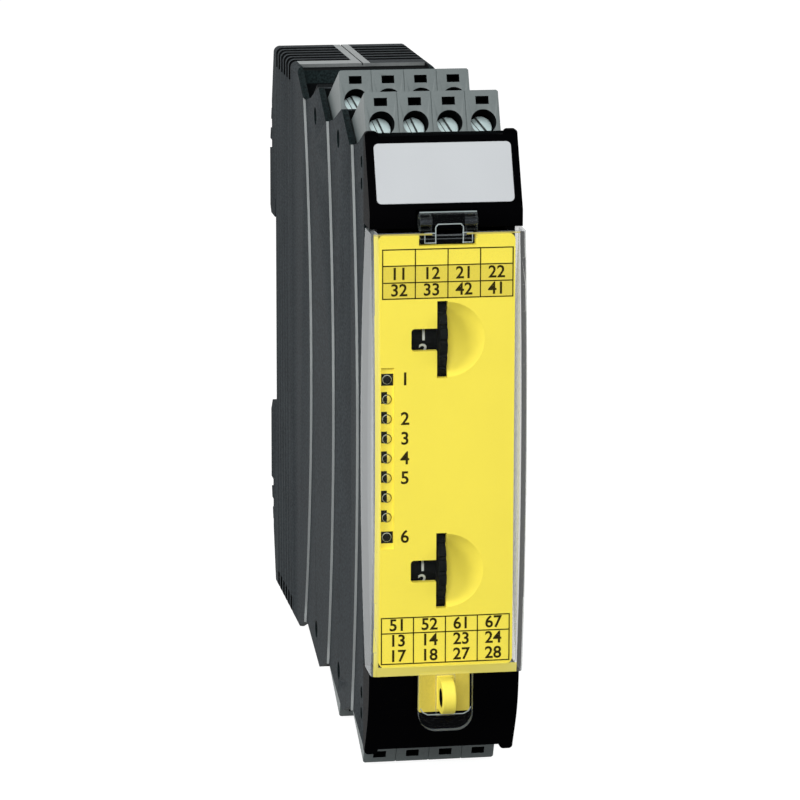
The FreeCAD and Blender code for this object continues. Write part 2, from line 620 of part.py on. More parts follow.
def header():
    """The socket strip in a pocket's floor, with its four pin holes."""
    top = -POCKET_HEIGHT
    half = INNER_X - HEADER_CLEAR
    strip = slab(-half, half, HEADER_BACK, HEADER_BACK + HEADER_DEPTH, top - HEADER_HEIGHT, top)
    holes = [slab(x - PIN / 2, x + PIN / 2, PIN_Y - PIN / 2, PIN_Y + PIN / 2,
                  top - HEADER_HEIGHT, top) for x in POLE_X]
    return strip.cut(holes)


def header_pins():
    """The four square pins of a header."""
    low = -POCKET_HEIGHT - HEADER_HEIGHT - PIN_TAIL
    return Part.makeCompound([slab(x - PIN / 2, x + PIN / 2, PIN_Y - PIN / 2, PIN_Y + PIN / 2,
                                   low, -PLUG_HEIGHT + PIN_REACH) for x in POLE_X])


def blanking_cover():
    """The ribbed insert that closes the pocket of a tier with no plug."""
    half = PLUG_WIDTH / 2 + PLUG_CLEAR - BLANK_CLEAR
    front, back = BLANK_CLEAR - PLUG_CLEAR, PLUG_DEPTH + PLUG_CLEAR - BLANK_CLEAR
    insert = slab(-half, half, front, back, -POCKET_HEIGHT, -BLANK_TOP)
    grooves = [slab(-half + 1, half - 1, front + 1.3 + 3.2 * row, front + 3.5 + 3.2 * row,
                    -BLANK_TOP - 2.5, 0) for row in range(4)]
    under = slab(-half + 1, half - 1, front + 1, back - 1, -POCKET_HEIGHT - 1, -POCKET_HEIGHT + 3.5)
    return insert.cut(grooves + [under])


# ---------------------------------------------------------------- front frame
def cap_face(z):
    """How far forward the upper cap's face is at a height of its leaning part."""
    return CAP_FRONT - CAP_TOP_LEAN * (z - LEAN_START) / (CAP_TOP - LEAN_START)


def lug(front, low, high):
    """A small rounded lug at the left end of a cap, up to a depth and between two heights."""
    half = CAP_WIDTH / 2
    post = block(-half, LUG_WIDTH - half, CAP_BACK, front, low, high)
    return post.makeFillet(LUG_RADIUS, edges_along(post, V(0, 1, 0), lambda p: True))


def upper_cap():
    """The upper cap: a thin-walled block with two side lugs and a hinge knuckle."""
    half = CAP_WIDTH / 2
    cap = prism([(CAP_BACK, WINDOW_TOP), (CAP_FRONT, WINDOW_TOP), (CAP_FRONT, LEAN_START),
                 (cap_face(CAP_TOP), CAP_TOP), (CAP_BACK, CAP_TOP)], -half, half)
    wall = WALL + 0.6
    behind = CAP_BACK - wall
    hollow = prism([(behind, WINDOW_TOP + WALL), (CAP_FRONT - wall, WINDOW_TOP + WALL),
                    (CAP_FRONT - wall, LEAN_START), (cap_face(CAP_TOP) - wall, CAP_TOP - WALL),
                    (behind, CAP_TOP - WALL)], WALL - half, half - WALL)
    cap = cap.cut(hollow)
    post = lug(cap_face(CAP_TOP), CAP_TOP - 2 * LUG_RADIUS, LUG_TOP)
    cap = cap.multiFuse([post, post.mirror(V(0, 0, 0), V(1, 0, 0))])
    room = TAB_WIDTH / 2 + COVER_GAP
    reach = KNUCKLE_RADIUS + COVER_GAP + 0.05
    cap = cap.cut(block(-room, room, HINGE - reach, CAP_FRONT + 1, WINDOW_TOP - 1, HINGE_Z + reach))
    inner = TAB_SLOT / 2 - 0.2
    knuckle = cross_rod(KNUCKLE_RADIUS, -inner, inner, HINGE, HINGE_Z)
    web = block(-inner, inner, HINGE - reach - 0.1, HINGE, HINGE_Z - 0.9, HINGE_Z + 0.9)
    return cap.multiFuse([knuckle, web]).cut(cross_rod(PIN_RADIUS, -half, half, HINGE, HINGE_Z))


def lower_cap():
    """The lower cap, with the recess that takes the cover's tongue."""
    half = CAP_WIDTH / 2
    low = CAP_BOTTOM
    bend = WINDOW_BOTTOM - CAP_BEND
    face = [(CAP_FRONT, WINDOW_BOTTOM), (CAP_FRONT - 0.7, bend), (CAP_FRONT - CAP_BOTTOM_LEAN, low)]
    cap = prism([(CAP_BACK, WINDOW_BOTTOM)] + face + [(CAP_BACK, low)], -half, half)
    cap = cap.makeFillet(CAP_BEND_RADIUS, edges_along(cap, V(1, 0, 0), lambda p: abs(p.z - bend) < 0.01))
    wall = WALL + 0.4
    hollow = prism([(CAP_BACK - 1, WINDOW_BOTTOM - WALL), (TONGUE_FLOOR - WALL, WINDOW_BOTTOM - WALL),
                    (TONGUE_FLOOR - WALL, bend - 1.0),
                    (CAP_FRONT - CAP_BOTTOM_LEAN - wall, low + WALL), (CAP_BACK - 1, low + WALL)],
                   WALL - half, half - WALL)
    notch = TONGUE_WIDTH / 2 + 0.5
    recess = block(-notch, notch, TONGUE_FLOOR, CAP_FRONT + 1, TONGUE_BOTTOM - 0.5, WINDOW_BOTTOM + 1)
    post = lug(CAP_FRONT - CAP_BOTTOM_LEAN, LUG_BOTTOM, low + 2 * LUG_RADIUS)
    return cap.cut([hollow, recess]).multiFuse([post, post.mirror(V(0, 0, 0), V(1, 0, 0))])


def front_frame():
    """The glossy frame: two caps, two side rails and a spigot into the housing."""
    parts = [upper_cap(), lower_cap()]
    root = HOUSING_FRONT - SHELL_HOLLOW - CAP_GAP
    shell_edge = block(-HALF, HALF, 0, HOUSING_FRONT, -BEYOND, BEYOND).cut(front_bow())
    shell_edge.translate(V(0, -CAP_GAP, 0))
    rails = block(-RAIL_OUT, RAIL_OUT, root, PLATE_BACK, WINDOW_BOTTOM - 0.5, WINDOW_TOP + 0.5)
    rails = rails.cut([through(-RAIL_IN, RAIL_IN, -BEYOND, BEYOND), shell_edge])
    parts.append(rails)
    top, bottom = WINDOW_TOP - 1.1, WINDOW_BOTTOM + 2.1
    spigot = block(-SPIGOT_HALF_X, SPIGOT_HALF_X, HOUSING_FRONT - SPIGOT, CAP_BACK + 1.2, bottom, top)
    inside = SPIGOT_HALF_X - SPIGOT_WALL
    spigot = spigot.cut(through(-inside, inside, bottom + SPIGOT_WALL, top - SPIGOT_WALL))
    parts.append(spigot)
    for cap_edge, ring_edge in ((WINDOW_TOP + 0.5, top), (bottom, WINDOW_BOTTOM - 0.5)):
        parts.append(block(-SPIGOT_HALF_X, SPIGOT_HALF_X, CAP_BACK, CAP_BACK + 1.2,
                           min(cap_edge, ring_edge), max(cap_edge, ring_edge)))
    frame = parts[0].multiFuse(parts[1:])
    low_wall = COVER_LOW - COVER_GAP
    cuts = [block(-HALF, HALF, COVER_BACK - 0.5, PLATE_FRONT + 1, low_wall, PLATE_BOTTOM),
            through(*LED_SLOT, LED_Z[-1] - LED_SLOT_END - 0.4, LED_Z[0] + LED_SLOT_END + 0.4)]
    return frame.cut(cuts).removeSplitter()


def label_plate():
    """The blank writing label on the upper cap's leaning face."""
    lean = math.atan2(CAP_TOP_LEAN, CAP_TOP - LEAN_START)
    length = LABEL_HEIGHT / math.cos(lean)
    high = CAP_TOP - LABEL_MARGIN
    plate = slab(-LABEL_WIDTH / 2, LABEL_WIDTH / 2, -LABEL_THICK, 0, -length, 0)
    plate = plate.makeFillet(LABEL_RADIUS, edges_along(plate, V(0, 1, 0), lambda p: True))
    plate.rotate(V(0, 0, 0), V(1, 0, 0), -math.degrees(lean))
    plate.translate(at(0, cap_face(high), high))
    return plate


# ---------------------------------------------------------------- clear cover
def lens(front_end, front_crown, back_end, back_middle, low, high):
    """A face bounded by two bowed edges, across X at 0."""
    middle = (low + high) / 2
    front = Part.Arc(at(0, front_end, high), at(0, front_crown, middle), at(0, front_end, low)).toShape()
    back = Part.Arc(at(0, back_end, low), at(0, back_middle, middle), at(0, back_end, high)).toShape()
    foot = Part.makeLine(at(0, front_end, low), at(0, back_end, low))
    head = Part.makeLine(at(0, back_end, high), at(0, front_end, high))
    return Part.Face(Part.Wire([front, foot, back, head]))


def clear_cover():
    """The hinged clear cover with its two hinge ears and its latching tongue."""
    high = COVER_HIGH
    face = lens(COVER_END, COVER_CROWN, COVER_BACK, COVER_BACK - BOW, COVER_LOW, high)
    face.translate(V(-HALF, 0, 0))
    cover = face.extrude(V(WIDTH, 0, 0))
    rim = [edge for edge in cover.Edges if edge.Curve.TypeId == "Part::GeomCircle"
           and SEAT - edge.CenterOfMass.y > PLATE_FRONT]
    cover = cover.makeFillet(COVER_EDGE_RADIUS, rim)
    inner = lens(COVER_END - COVER_WALL, COVER_CROWN - COVER_WALL, COVER_BACK - 3 * BOW,
                 COVER_BACK - 4 * BOW, COVER_LOW + COVER_BOTTOM_WALL, high + 1)
    inner.translate(V(COVER_WALL - HALF, 0, 0))
    cover = cover.cut(inner.extrude(V(WIDTH - 2 * COVER_WALL, 0, 0)))

    half = TAB_WIDTH / 2
    slot = TAB_SLOT / 2
    ears = cross_rod(KNUCKLE_RADIUS, -half, half, HINGE, HINGE_Z)
    ears = ears.fuse(block(-half, half, HINGE + 0.1, HINGE + KNUCKLE_RADIUS, high - 1, HINGE_Z))
    tongue = block(-TONGUE_WIDTH / 2, TONGUE_WIDTH / 2, TONGUE_BACK, TONGUE_BACK + TONGUE_THICK,
                   TONGUE_BOTTOM, COVER_LOW + 0.3)
    corners = edges_along(tongue, V(0, 1, 0), lambda p: p.z < TONGUE_BOTTOM + 0.01)
    tongue = tongue.makeFillet(TONGUE_RADIUS, corners)
    cover = cover.multiFuse([ears, tongue])
    cuts = [through(-slot, slot, high - 0.4, HINGE_Z + 2 * KNUCKLE_RADIUS),
            cross_rod(PIN_RADIUS + PIN_RUNNING, -half - 1, half + 1, HINGE, HINGE_Z),
            through(-EYELET_THICK / 2 - 0.4, EYELET_THICK / 2 + 0.4,
                    EYELET_BOTTOM - 0.6, EYELET_TOP + 0.5)]
    return cover.cut(cuts).removeSplitter()


def seal_eyelet():
    """The sealing eye behind the cover's tongue."""
    middle = (EYELET_TOP + EYELET_BOTTOM) / 2
    radius = EYELET_HEIGHT / 2
    tip = TONGUE_BACK + TONGUE_THICK + EYELET_REACH
    half = EYELET_THICK / 2
    fin = block(-half, half, TONGUE_FLOOR, tip - radius, EYELET_BOTTOM, EYELET_TOP)
    fin = fin.fuse(cross_rod(radius, -half, half, tip - radius, middle))
    base = TONGUE_WIDTH / 2 - 0.2
    plate = block(-base, base, TONGUE_FLOOR, CAP_FRONT - 0.1, EYELET_BOTTOM - EYELET_FOOT,
                  WINDOW_BOTTOM - 0.1)
    eye = cross_rod(EYELET_HOLE, -half - 1, half + 1, tip - radius + 0.4, middle)
    return fin.fuse(plate).cut(eye).removeSplitter()


# ---------------------------------------------------------------- faceplate
def faceplate():
    """The yellow plate: digit windows, wheel slits, finger dishes and the LED strip."""
    plate = block(-PLATE_HALF, PLATE_HALF, PLATE_BACK, PLATE_FRONT, PLATE_BOTTOM, PLATE_TOP)
    plate = plate.makeFillet(PLATE_RADIUS, edges_along(plate, V(0, 1, 0), lambda p: True))
    centre = PLATE_FRONT + math.sqrt(DISH_SPHERE ** 2 - DISH_RADIUS ** 2)
    left, right, height = SLIT
    reach = DISH_SPHERE + DISH_SKIN
    cuts = []
    for z in SWITCH_Z:
        bowl = Part.makeSphere(reach, at(0, centre, z))
        bowl = bowl.common(block(right, right + reach, centre - reach, PLATE_BACK + 0.3,
                                 z - reach, z + reach))
        plate = plate.fuse(bowl)
        dish = Part.makeSphere(DISH_SPHERE, at(0, centre, z))
        cuts.append(dish.common(through(right, right + reach, z - reach, z + reach)))
        cuts.append(through(left, right, z - height / 2, z + height / 2))
        window = through(DIGIT_WINDOW[0], left + 1, z - DIGIT_WINDOW[1] / 2, z + DIGIT_WINDOW[1] / 2)
        cuts.append(window.makeFillet(0.5, edges_along(window, V(0, 1, 0), lambda p: p.x < left)))
    cuts.append(through(-PLATE_NOTCH[0] / 2, PLATE_NOTCH[0] / 2, PLATE_TOP - PLATE_NOTCH[1],
                        PLATE_TOP + 1))
    cuts.append(block(*LED_SLOT, PLATE_FRONT - LED_SINK, PLATE_FRONT + 1,
                      LED_Z[-1] - LED_SLOT_END, LED_Z[0] + LED_SLOT_END))
    cuts += [ahead_rod(GUIDE_RADIUS + 0.05, PLATE_BACK - 1, PLATE_FRONT + 1, LED_X, z) for z in LED_Z]
    return plate.cut(cuts).removeSplitter()


def light_guide():
    """Nine clear rods that stand on one bar, from the LEDs to the faceplate."""
    bar_front = FRONT_BOARD + GUIDE_BAR_AHEAD
    bar = block(LED_X - 0.8, LED_X + 0.9, bar_front - GUIDE_BAR, bar_front,
                LED_Z[-1] - 1.5, LED_Z[0] + 1.5)
    rods = [ahead_rod(GUIDE_RADIUS, FRONT_BOARD + LED_HEIGHT + 0.2, PLATE_FRONT - LED_SINK, LED_X, z)
            for z in LED_Z]
    feet = [ahead_rod(0.5, FRONT_BOARD, bar_front - 1, LED_X, z) for z in
            (LED_Z[0] - LED_PITCH / 2, LED_Z[-1] + LED_PITCH / 2)]
    return fuse([bar] + rods + feet)


# ---------------------------------------------------------------- thumbwheels
def thumbwheel(z):
    """The ridged wheel with its digit drum and hub, one moulding."""
    axis = WHEEL_AXIS
    disc = cross_rod(WHEEL_RADIUS, WHEEL_X[0], WHEEL_X[1], axis, z)
    teeth = []
    for index in range(WHEEL_TEETH):
        angle = 2 * math.pi * index / WHEEL_TEETH
        teeth.append(cross_rod(TOOTH_DEPTH, WHEEL_X[0] - 0.5, WHEEL_X[1] + 0.5,
                               axis + WHEEL_RADIUS * math.cos(angle), z + WHEEL_RADIUS * math.sin(angle)))
    drum = cross_rod(DRUM_RADIUS, DRUM_X[0], DRUM_X[1], axis, z)
    hub = cross_rod(HUB_RADIUS, SWITCH_BODY[0] + 0.2, SWITCH_BODY[1] - 0.2, axis, z)
    return disc.cut(teeth).multiFuse([drum, hub]).removeSplitter()


def switch_body(z):
    """The open box of a thumbwheel switch, with the bearings of the wheel's hub."""
    axis = WHEEL_AXIS
    room = WHEEL_RADIUS + WHEEL_CLEAR
    body = block(SWITCH_BODY[0], SWITCH_BODY[1], FRONT_BOARD, SWITCH_FRONT, z - SWITCH_HALF, z + SWITCH_HALF)
    inside = block(SWITCH_BODY[0] + SWITCH_WALL, SWITCH_BODY[1] - SWITCH_WALL, axis - room,
                   SWITCH_FRONT + 1, z - room, z + room)
    bearing = cross_rod(HUB_RADIUS + HUB_RUNNING, SWITCH_BODY[0] - 1, SWITCH_BODY[1] + 1, axis, z)
    return body.cut([inside, bearing])


# ---------------------------------------------------------------- electronics
def front_board():
    half = INNER_X - 0.1
    return block(-half, half, FRONT_BOARD - BOARD, FRONT_BOARD,
                 MID_Z - FRONT_BOARD_HALF, MID_Z + FRONT_BOARD_HALF)


def main_board():
    return block(MAIN_BOARD_X, MAIN_BOARD_X + BOARD, MAIN_BOARD_REAR, MAIN_BOARD_FRONT,
                 MID_Z - MAIN_BOARD_HALF, MID_Z + MAIN_BOARD_HALF)


def on_board(height, forward, depth, low, length):
    """A box that stands on the main board's right face."""
    base = MAIN_BOARD_X + BOARD
    return block(base, base + height, forward, forward + depth, low, low + length)


def relay(index):
    """A sealed switching relay, with its base flange and moulded edges."""
    height, depth = RELAY
    length = 2 * (MAIN_BOARD_HALF - RELAY_MARGIN)
    start = MAIN_BOARD_REAR + RELAY_FIRST + RELAY_PITCH * index
    case = on_board(height, start, depth, MID_Z - length / 2, length)
    return case.makeFillet(0.6, edges_along(case, V(1, 0, 0), lambda p: True))


def transformer():
    """The supply transformer: a square core with its wound bobbin."""
    height, depth, length = TRANSFORMER
    back = MAIN_BOARD_REAR + TRANSFORMER_BACK
    core = on_board(height, back, depth, MID_Z + 4, length)
    window = on_board(height - 3.4, back - 1, 3.0, MID_Z + 7, length - 6)
    coil = on_board(height - 2.0, back - 1.6, depth + 3.2, MID_Z + 8.5, length - 9)
    return core.cut(window).fuse(coil).removeSplitter()


def capacitors():
    """Two electrolytic capacitors that stand on the main board."""
    cans = []
    for index in range(2):
        can = cross_rod(CAPACITOR_RADIUS, MAIN_BOARD_X + BOARD,
                        MAIN_BOARD_X + BOARD + CAPACITOR_HEIGHT,
                        MAIN_BOARD_REAR + CAPACITOR_BACK + 2.5 * CAPACITOR_RADIUS * index,
                        MID_Z - CAPACITOR_LOW)
        cans.append(can.makeFillet(0.5, [can.Edges[0], can.Edges[2]]))
    return Part.makeCompound(cans)


def status_leds():
    """Nine LED chips on the front board, one behind each light guide."""
    return Part.makeCompound([block(LED_X - 0.6, LED_X + 0.6, FRONT_BOARD, FRONT_BOARD + LED_HEIGHT,
                                    z - 0.4, z + 0.4) for z in LED_Z])


def board_link():
    """The connector that joins the two boards."""
    width, depth, length = LINK
    back = FRONT_BOARD - BOARD - depth
    return on_board(width, back, depth, MID_Z - length / 2, length)


# ---------------------------------------------------------------- the whole relay
def build():
    """Every node of the relay, by name."""
    nodes = {}
    nodes["housing_left"], nodes["housing_right"] = housing_pair()
    nodes["rail_foot"] = rail_foot()
    nodes["foot_spring"] = foot_spring()
    nodes["front_frame"] = front_frame()
    nodes["label_plate"] = label_plate()
    nodes["faceplate"] = faceplate()
    nodes["clear_cover"] = clear_cover()
    nodes["cover_hinge_pin"] = cross_rod(PIN_RADIUS, -TAB_WIDTH / 2, TAB_WIDTH / 2, HINGE, HINGE_Z)
    nodes["seal_eyelet"] = seal_eyelet()
    for place, z in zip(("upper", "lower"), SWITCH_Z):
        nodes["thumbwheel_" + place] = thumbwheel(z)
        nodes["switch_body_" + place] = switch_body(z)
    nodes["light_guide"] = light_guide()
    nodes["status_leds"] = status_leds()
    nodes["front_board"] = front_board()
    nodes["main_board"] = main_board()
    nodes["board_link"] = board_link()
    nodes["relay_rear"] = relay(0)
    nodes["relay_middle"] = relay(1)
    nodes["transformer"] = transformer()
    nodes["capacitors"] = capacitors()
    for level, side in (("top", 1), ("bottom", -1)):
        nodes["blanking_cover_" + level] = in_tier(blanking_cover(), TIERS[0], side)
        for depth, tier in (("middle", TIERS[1]), ("front", TIERS[2])):
            where = level + "_" + depth
            nodes["plug_" + where] = in_tier(plug(), tier, side)
            nodes["clamp_cages_" + where] = in_tier(cages(), tier, side)
            nodes["header_" + where] = in_tier(header(), tier, side)
            nodes["header_pins_" + where] = in_tier(header_pins(), tier, side)
            for number, x in enumerate(POLE_X, start=1):
                nodes["screw_%s_%d" % (where, number)] = in_tier(screw(x), tier, side)
    return nodes


os.makedirs("parts", exist_ok=True)
for name, shape in build().items():
    shape.exportStep("parts/%s.step" % name)
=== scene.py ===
import functools
import logging
import math
from contextlib import contextmanager
from dataclasses import dataclass, field
from enum import Enum
from typing import Callable, Iterable, Iterator, Sequence

import bmesh
import bpy
from mathutils import Matrix, Vector


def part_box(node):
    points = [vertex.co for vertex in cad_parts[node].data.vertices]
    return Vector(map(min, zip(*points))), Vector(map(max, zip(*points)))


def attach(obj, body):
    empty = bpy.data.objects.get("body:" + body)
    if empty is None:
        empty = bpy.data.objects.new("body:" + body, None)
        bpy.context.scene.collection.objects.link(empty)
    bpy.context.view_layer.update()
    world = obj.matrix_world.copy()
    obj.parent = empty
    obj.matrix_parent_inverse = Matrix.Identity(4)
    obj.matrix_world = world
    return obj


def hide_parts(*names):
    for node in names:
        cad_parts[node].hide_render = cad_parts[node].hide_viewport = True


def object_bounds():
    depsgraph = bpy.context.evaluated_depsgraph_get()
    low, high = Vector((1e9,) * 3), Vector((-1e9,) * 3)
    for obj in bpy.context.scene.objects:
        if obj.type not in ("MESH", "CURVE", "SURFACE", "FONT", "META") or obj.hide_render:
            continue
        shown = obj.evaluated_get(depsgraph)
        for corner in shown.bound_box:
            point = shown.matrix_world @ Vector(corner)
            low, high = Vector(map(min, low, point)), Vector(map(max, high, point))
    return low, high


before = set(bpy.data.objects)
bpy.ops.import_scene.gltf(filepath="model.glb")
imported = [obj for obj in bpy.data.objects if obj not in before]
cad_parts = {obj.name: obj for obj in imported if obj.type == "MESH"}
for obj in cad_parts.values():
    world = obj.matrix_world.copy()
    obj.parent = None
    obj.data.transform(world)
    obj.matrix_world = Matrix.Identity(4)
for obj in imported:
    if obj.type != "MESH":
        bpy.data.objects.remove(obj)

LOG = logging.getLogger("safety_relay")
CAD_BOX = [list(corner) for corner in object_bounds()]
MM = 0.001
TILT = math.radians(25.0)      # lean of the terminals
MIDDLE = -3.0                  # height of the housing's middle, in millimetres
SIDE = 11.25                   # half the housing's width
NEAR = 0.1                     # a face this close to a limit still counts as inside it
Colour = tuple[float, float, float]
Point = tuple[float, float, float]
Node, Piece, Material = bpy.types.Node, bpy.types.Object, bpy.types.Material


# ---------------------------------------------------------------- shader building
class Shader:
    """A material's node tree, with short ways to add and join its nodes."""

    def __init__(self, name: str) -> None:
        """Starts an empty material with one Principled shader."""
        self.material = bpy.data.materials.new(name)
        self.material.use_nodes = True
        self.tree = self.material.node_tree
        self.tree.nodes.clear()
        self.output = self.add("ShaderNodeOutputMaterial")
        self.surface = self.add("ShaderNodeBsdfPrincipled")
        self.join(self.surface, "BSDF", self.output, "Surface")
        self.coords = self.add("ShaderNodeTexCoord")

    def add(self, kind: str, **values: object) -> Node:
        """Adds a node and sets its properties or input sockets.

        Args:
            kind: The node's type name.
            values: Properties of the node, or values of inputs of that name.

        Returns:
            The new node.
        """
        node = self.tree.nodes.new(kind)
        for key, value in values.items():
            if hasattr(node, key):
                setattr(node, key, value)
            else:
                node.inputs[key.replace("_", " ")].default_value = value
        return node

    def join(self, source: Node, out: str | int, target: Node,
             into: str | int) -> None:
        """Links an output socket to an input socket."""
        self.tree.links.new(source.outputs[out], target.inputs[into])

    def set(self, **values: object) -> None:
        """Sets constants on the Principled shader's own sockets."""
        for key, value in values.items():
            if isinstance(value, tuple) and len(value) == 3:
                value = (*value, 1.0)
            self.surface.inputs[key.replace("_", " ")].default_value = value

    def noise(self, scale: float, detail: float = 2.0, stretch: Point = (1.0, 1.0, 1.0)
              ) -> Node:
        """Adds a noise texture on Object coordinates.

        Args:
            scale: Features per metre.
            detail: Octaves of detail.
            stretch: Factor along each axis.

        Returns:
            The noise node.
        """
        mapping = self.add("ShaderNodeMapping", Scale=stretch)
        self.join(self.coords, "Object", mapping, "Vector")
        noise = self.add("ShaderNodeTexNoise", Scale=scale, Detail=detail)
        self.join(mapping, "Vector", noise, "Vector")
        return noise

    def tint(self, source: Node, colour: Colour, dark: float, light: float, start: float = 0.35,
             end: float = 0.65, out: str | int = "Fac") -> None:
        """Gives the surface a colour that varies with a node's value.

        Args:
            source: The node that gives the value.
            colour: The surface's colour.
            dark: Its factor at low values.
            light: Its factor at high values.
            start: Value where the blend starts.
            end: Value where it ends.
            out: The source's output socket.
        """
        ramp = self.add("ShaderNodeValToRGB")
        for element, place, factor in zip(ramp.color_ramp.elements, (start, end), (dark, light)):
            element.position = place
            element.color = (*scaled(colour, factor), 1.0)
        self.join(source, out, ramp, 0)
        self.join(ramp, "Color", self.surface, "Base Color")

    def spread(self, source: Node, out: str | int, low: float, high: float, target: str) -> Node:
        """Maps a 0 to 1 value to a range and feeds it to one of the shader's sockets."""
        spread = self.add("ShaderNodeMapRange", To_Min=low, To_Max=high)
        self.join(source, out, spread, "Value")
        self.join(spread, "Result", self.surface, target)
        return spread

    def gloss(self, source: Node, low: float, high: float) -> None:
        """Lets the roughness vary with a texture, between two values."""
        self.spread(source, "Fac", low, high, "Roughness")

    def bump(self, source: Node, height: float, strength: float) -> None:
        """Raises a texture's pattern by a height in millimetres."""
        bump = self.add("ShaderNodeBump", Strength=strength, Distance=height * MM)
        self.join(source, "Fac", bump, "Height")
        self.join(bump, "Normal", self.surface, "Normal")


def scaled(colour: Colour, factor: float) -> Colour:
    """The colour made lighter or darker by a factor."""
    return tuple(min(1.0, channel * factor) for channel in colour)


# ---------------------------------------------------------------- finishes
@dataclass(frozen=True)
class Coating:
    """What every finish has: its material's name and its colour."""

    name: str
    colour: Colour

    def material(self) -> Material:
        """Builds the material with the textures of its kind.

        Returns:
            The new material.
        """
        shader = Shader(self.name)
        self.lay(shader)
        return shader.material

    def lay(self, shader: Shader) -> None:
        """Sets the shader and adds the textures; each kind of finish has its own."""
        raise NotImplementedError


@dataclass(frozen=True)
class MouldedPlastic(Coating):
    """Moulded plastic with a fine grain and faint flow mottling."""

    roughness: float = 0.5
    grain: float = 0.25        # millimetres between the grain's peaks
    grain_height: float = 0.012
    mottle: float = 0.06
    specular: float = 0.5
    index: float = 1.3         # refractive index of the skin, low for a dull one
    speckle: float = 0.55      # share of the fine grain in the colour
    drawn: float = 1.0         # the grain is drawn out by this along the depth

    def lay(self, shader: Shader) -> None:
        """Lays the fine grain over a broad mottling."""
        shader.set(Roughness=self.roughness, Specular_IOR_Level=self.specular, IOR=self.index)
        broad = shader.noise(90.0, 3.0)
        fine = shader.noise(1.0 / (self.grain * MM), 2.0, (1.0, 1.0 / self.drawn, 1.0))
        blend = shader.add("ShaderNodeMix", data_type="FLOAT")
        blend.inputs[0].default_value = self.speckle
        shader.join(broad, "Fac", blend, 2)
        shader.join(fine, "Fac", blend, 3)
        shader.tint(blend, self.colour, 1 - 2.2 * self.mottle, 1 + 2.2 * self.mottle, out=0)
        shader.gloss(fine, self.roughness - 0.06, self.roughness + 0.08)
        shader.bump(fine, self.grain_height, 0.7)


@dataclass(frozen=True)
class GlossPlastic(Coating):
    """Polished moulded plastic with faint flow lines and dust-fine wear in its gloss."""

    roughness: float = 0.12
    specular: float = 0.3
    coat: float = 0.0
    index: float = 1.45

    def lay(self, shader: Shader) -> None:
        """Lays the flow lines and the wear."""
        shader.set(Roughness=self.roughness, Specular_IOR_Level=self.specular, IOR=self.index,
                   Coat_Weight=self.coat, Coat_Roughness=0.08)
        flow = shader.noise(70.0, 3.0, (1.0, 1.0, 0.35))
        shader.tint(flow, self.colour, 0.93, 1.05)
        shader.gloss(shader.noise(2600.0), self.roughness * 0.7, self.roughness * 1.5)
        shader.bump(flow, 0.02, 0.35)


@dataclass(frozen=True)
class ClearPlastic(Coating):
    """Clear moulded plastic, see-through from the front and greyer along its edges."""

    front: float = 0.004
    edge: float = 0.62
    turning: float = 0.2       # how far a face turns away before it starts to show
    roughness: float = 0.06

    def lay(self, shader: Shader) -> None:
        """Lets faces that turn away show more, over faint flow lines."""
        shader.set(Roughness=self.roughness, IOR=1.49, Specular_IOR_Level=0.4)
        facing = shader.add("ShaderNodeLayerWeight", Blend=0.45)
        cover = shader.spread(facing, "Facing", self.front, self.edge, "Alpha")
        cover.inputs["From Min"].default_value = self.turning
        flow = shader.noise(60.0, 2.0, (1.0, 1.0, 0.3))
        shader.tint(flow, self.colour, 0.94, 1.04)
        shader.gloss(flow, self.roughness * 0.8, self.roughness * 1.6)
        shader.bump(flow, 0.02, 0.25)


@dataclass(frozen=True)
class PlatedMetal(Coating):
    """Metal with a thin plating, turning marks and uneven brightness."""

    roughness: float = 0.28
    metallic: float = 1.0

    def lay(self, shader: Shader) -> None:
        """Lays the stains and the turning marks."""
        shader.set(Metallic=self.metallic, Roughness=self.roughness)
        stain = shader.noise(420.0, 4.0)
        shader.tint(stain, self.colour, 0.78, 1.06, 0.3, 0.7)
        shader.gloss(stain, self.roughness * 0.75, self.roughness * 1.45)
        shader.bump(shader.noise(4200.0, 3.0), 0.012, 0.6)


@dataclass(frozen=True)
class PrintedLabel(Coating):
    """Satin label stock: a paper-smooth film with a barely seen fibre."""

    roughness: float = 0.38

    def lay(self, shader: Shader) -> None:
        """Lays the fibre over a faint cloudiness."""
        shader.set(Roughness=self.roughness, Specular_IOR_Level=0.35)
        fibre = shader.noise(2400.0, 4.0, (1.0, 1.0, 4.0))
        shader.tint(shader.noise(60.0), self.colour, 0.97, 1.02)
        shader.gloss(fibre, self.roughness - 0.05, self.roughness + 0.07)
        shader.bump(fibre, 0.004, 0.5)


@dataclass(frozen=True)
class BoardLacquer(Coating):
    """Solder-resist lacquer over a woven board, with copper tracks just showing."""

    track: Colour

    def lay(self, shader: Shader) -> None:
        """Lays the tracks and the weave."""
        shader.set(Roughness=0.3, Specular_IOR_Level=0.5, Coat_Weight=0.2, Coat_Roughness=0.1)
        bricks = shader.add("ShaderNodeTexBrick", Scale=260.0, Mortar_Size=0.035, Mortar_Smooth=0.2,
                            Color1=(*self.colour, 1.0), Color2=(*scaled(self.colour, 0.8), 1.0),
                            Mortar=(*self.track, 1.0))
        mapping = shader.add("ShaderNodeMapping", Rotation=(math.pi / 2, 0.0, math.pi / 2))
        shader.join(shader.coords, "Object", mapping, "Vector")
        shader.join(mapping, "Vector", bricks, "Vector")
        shader.join(bricks, "Color", shader.surface, "Base Color")
        shader.gloss(shader.noise(1800.0), 0.24, 0.42)
        shader.bump(bricks, 0.03, 0.6)


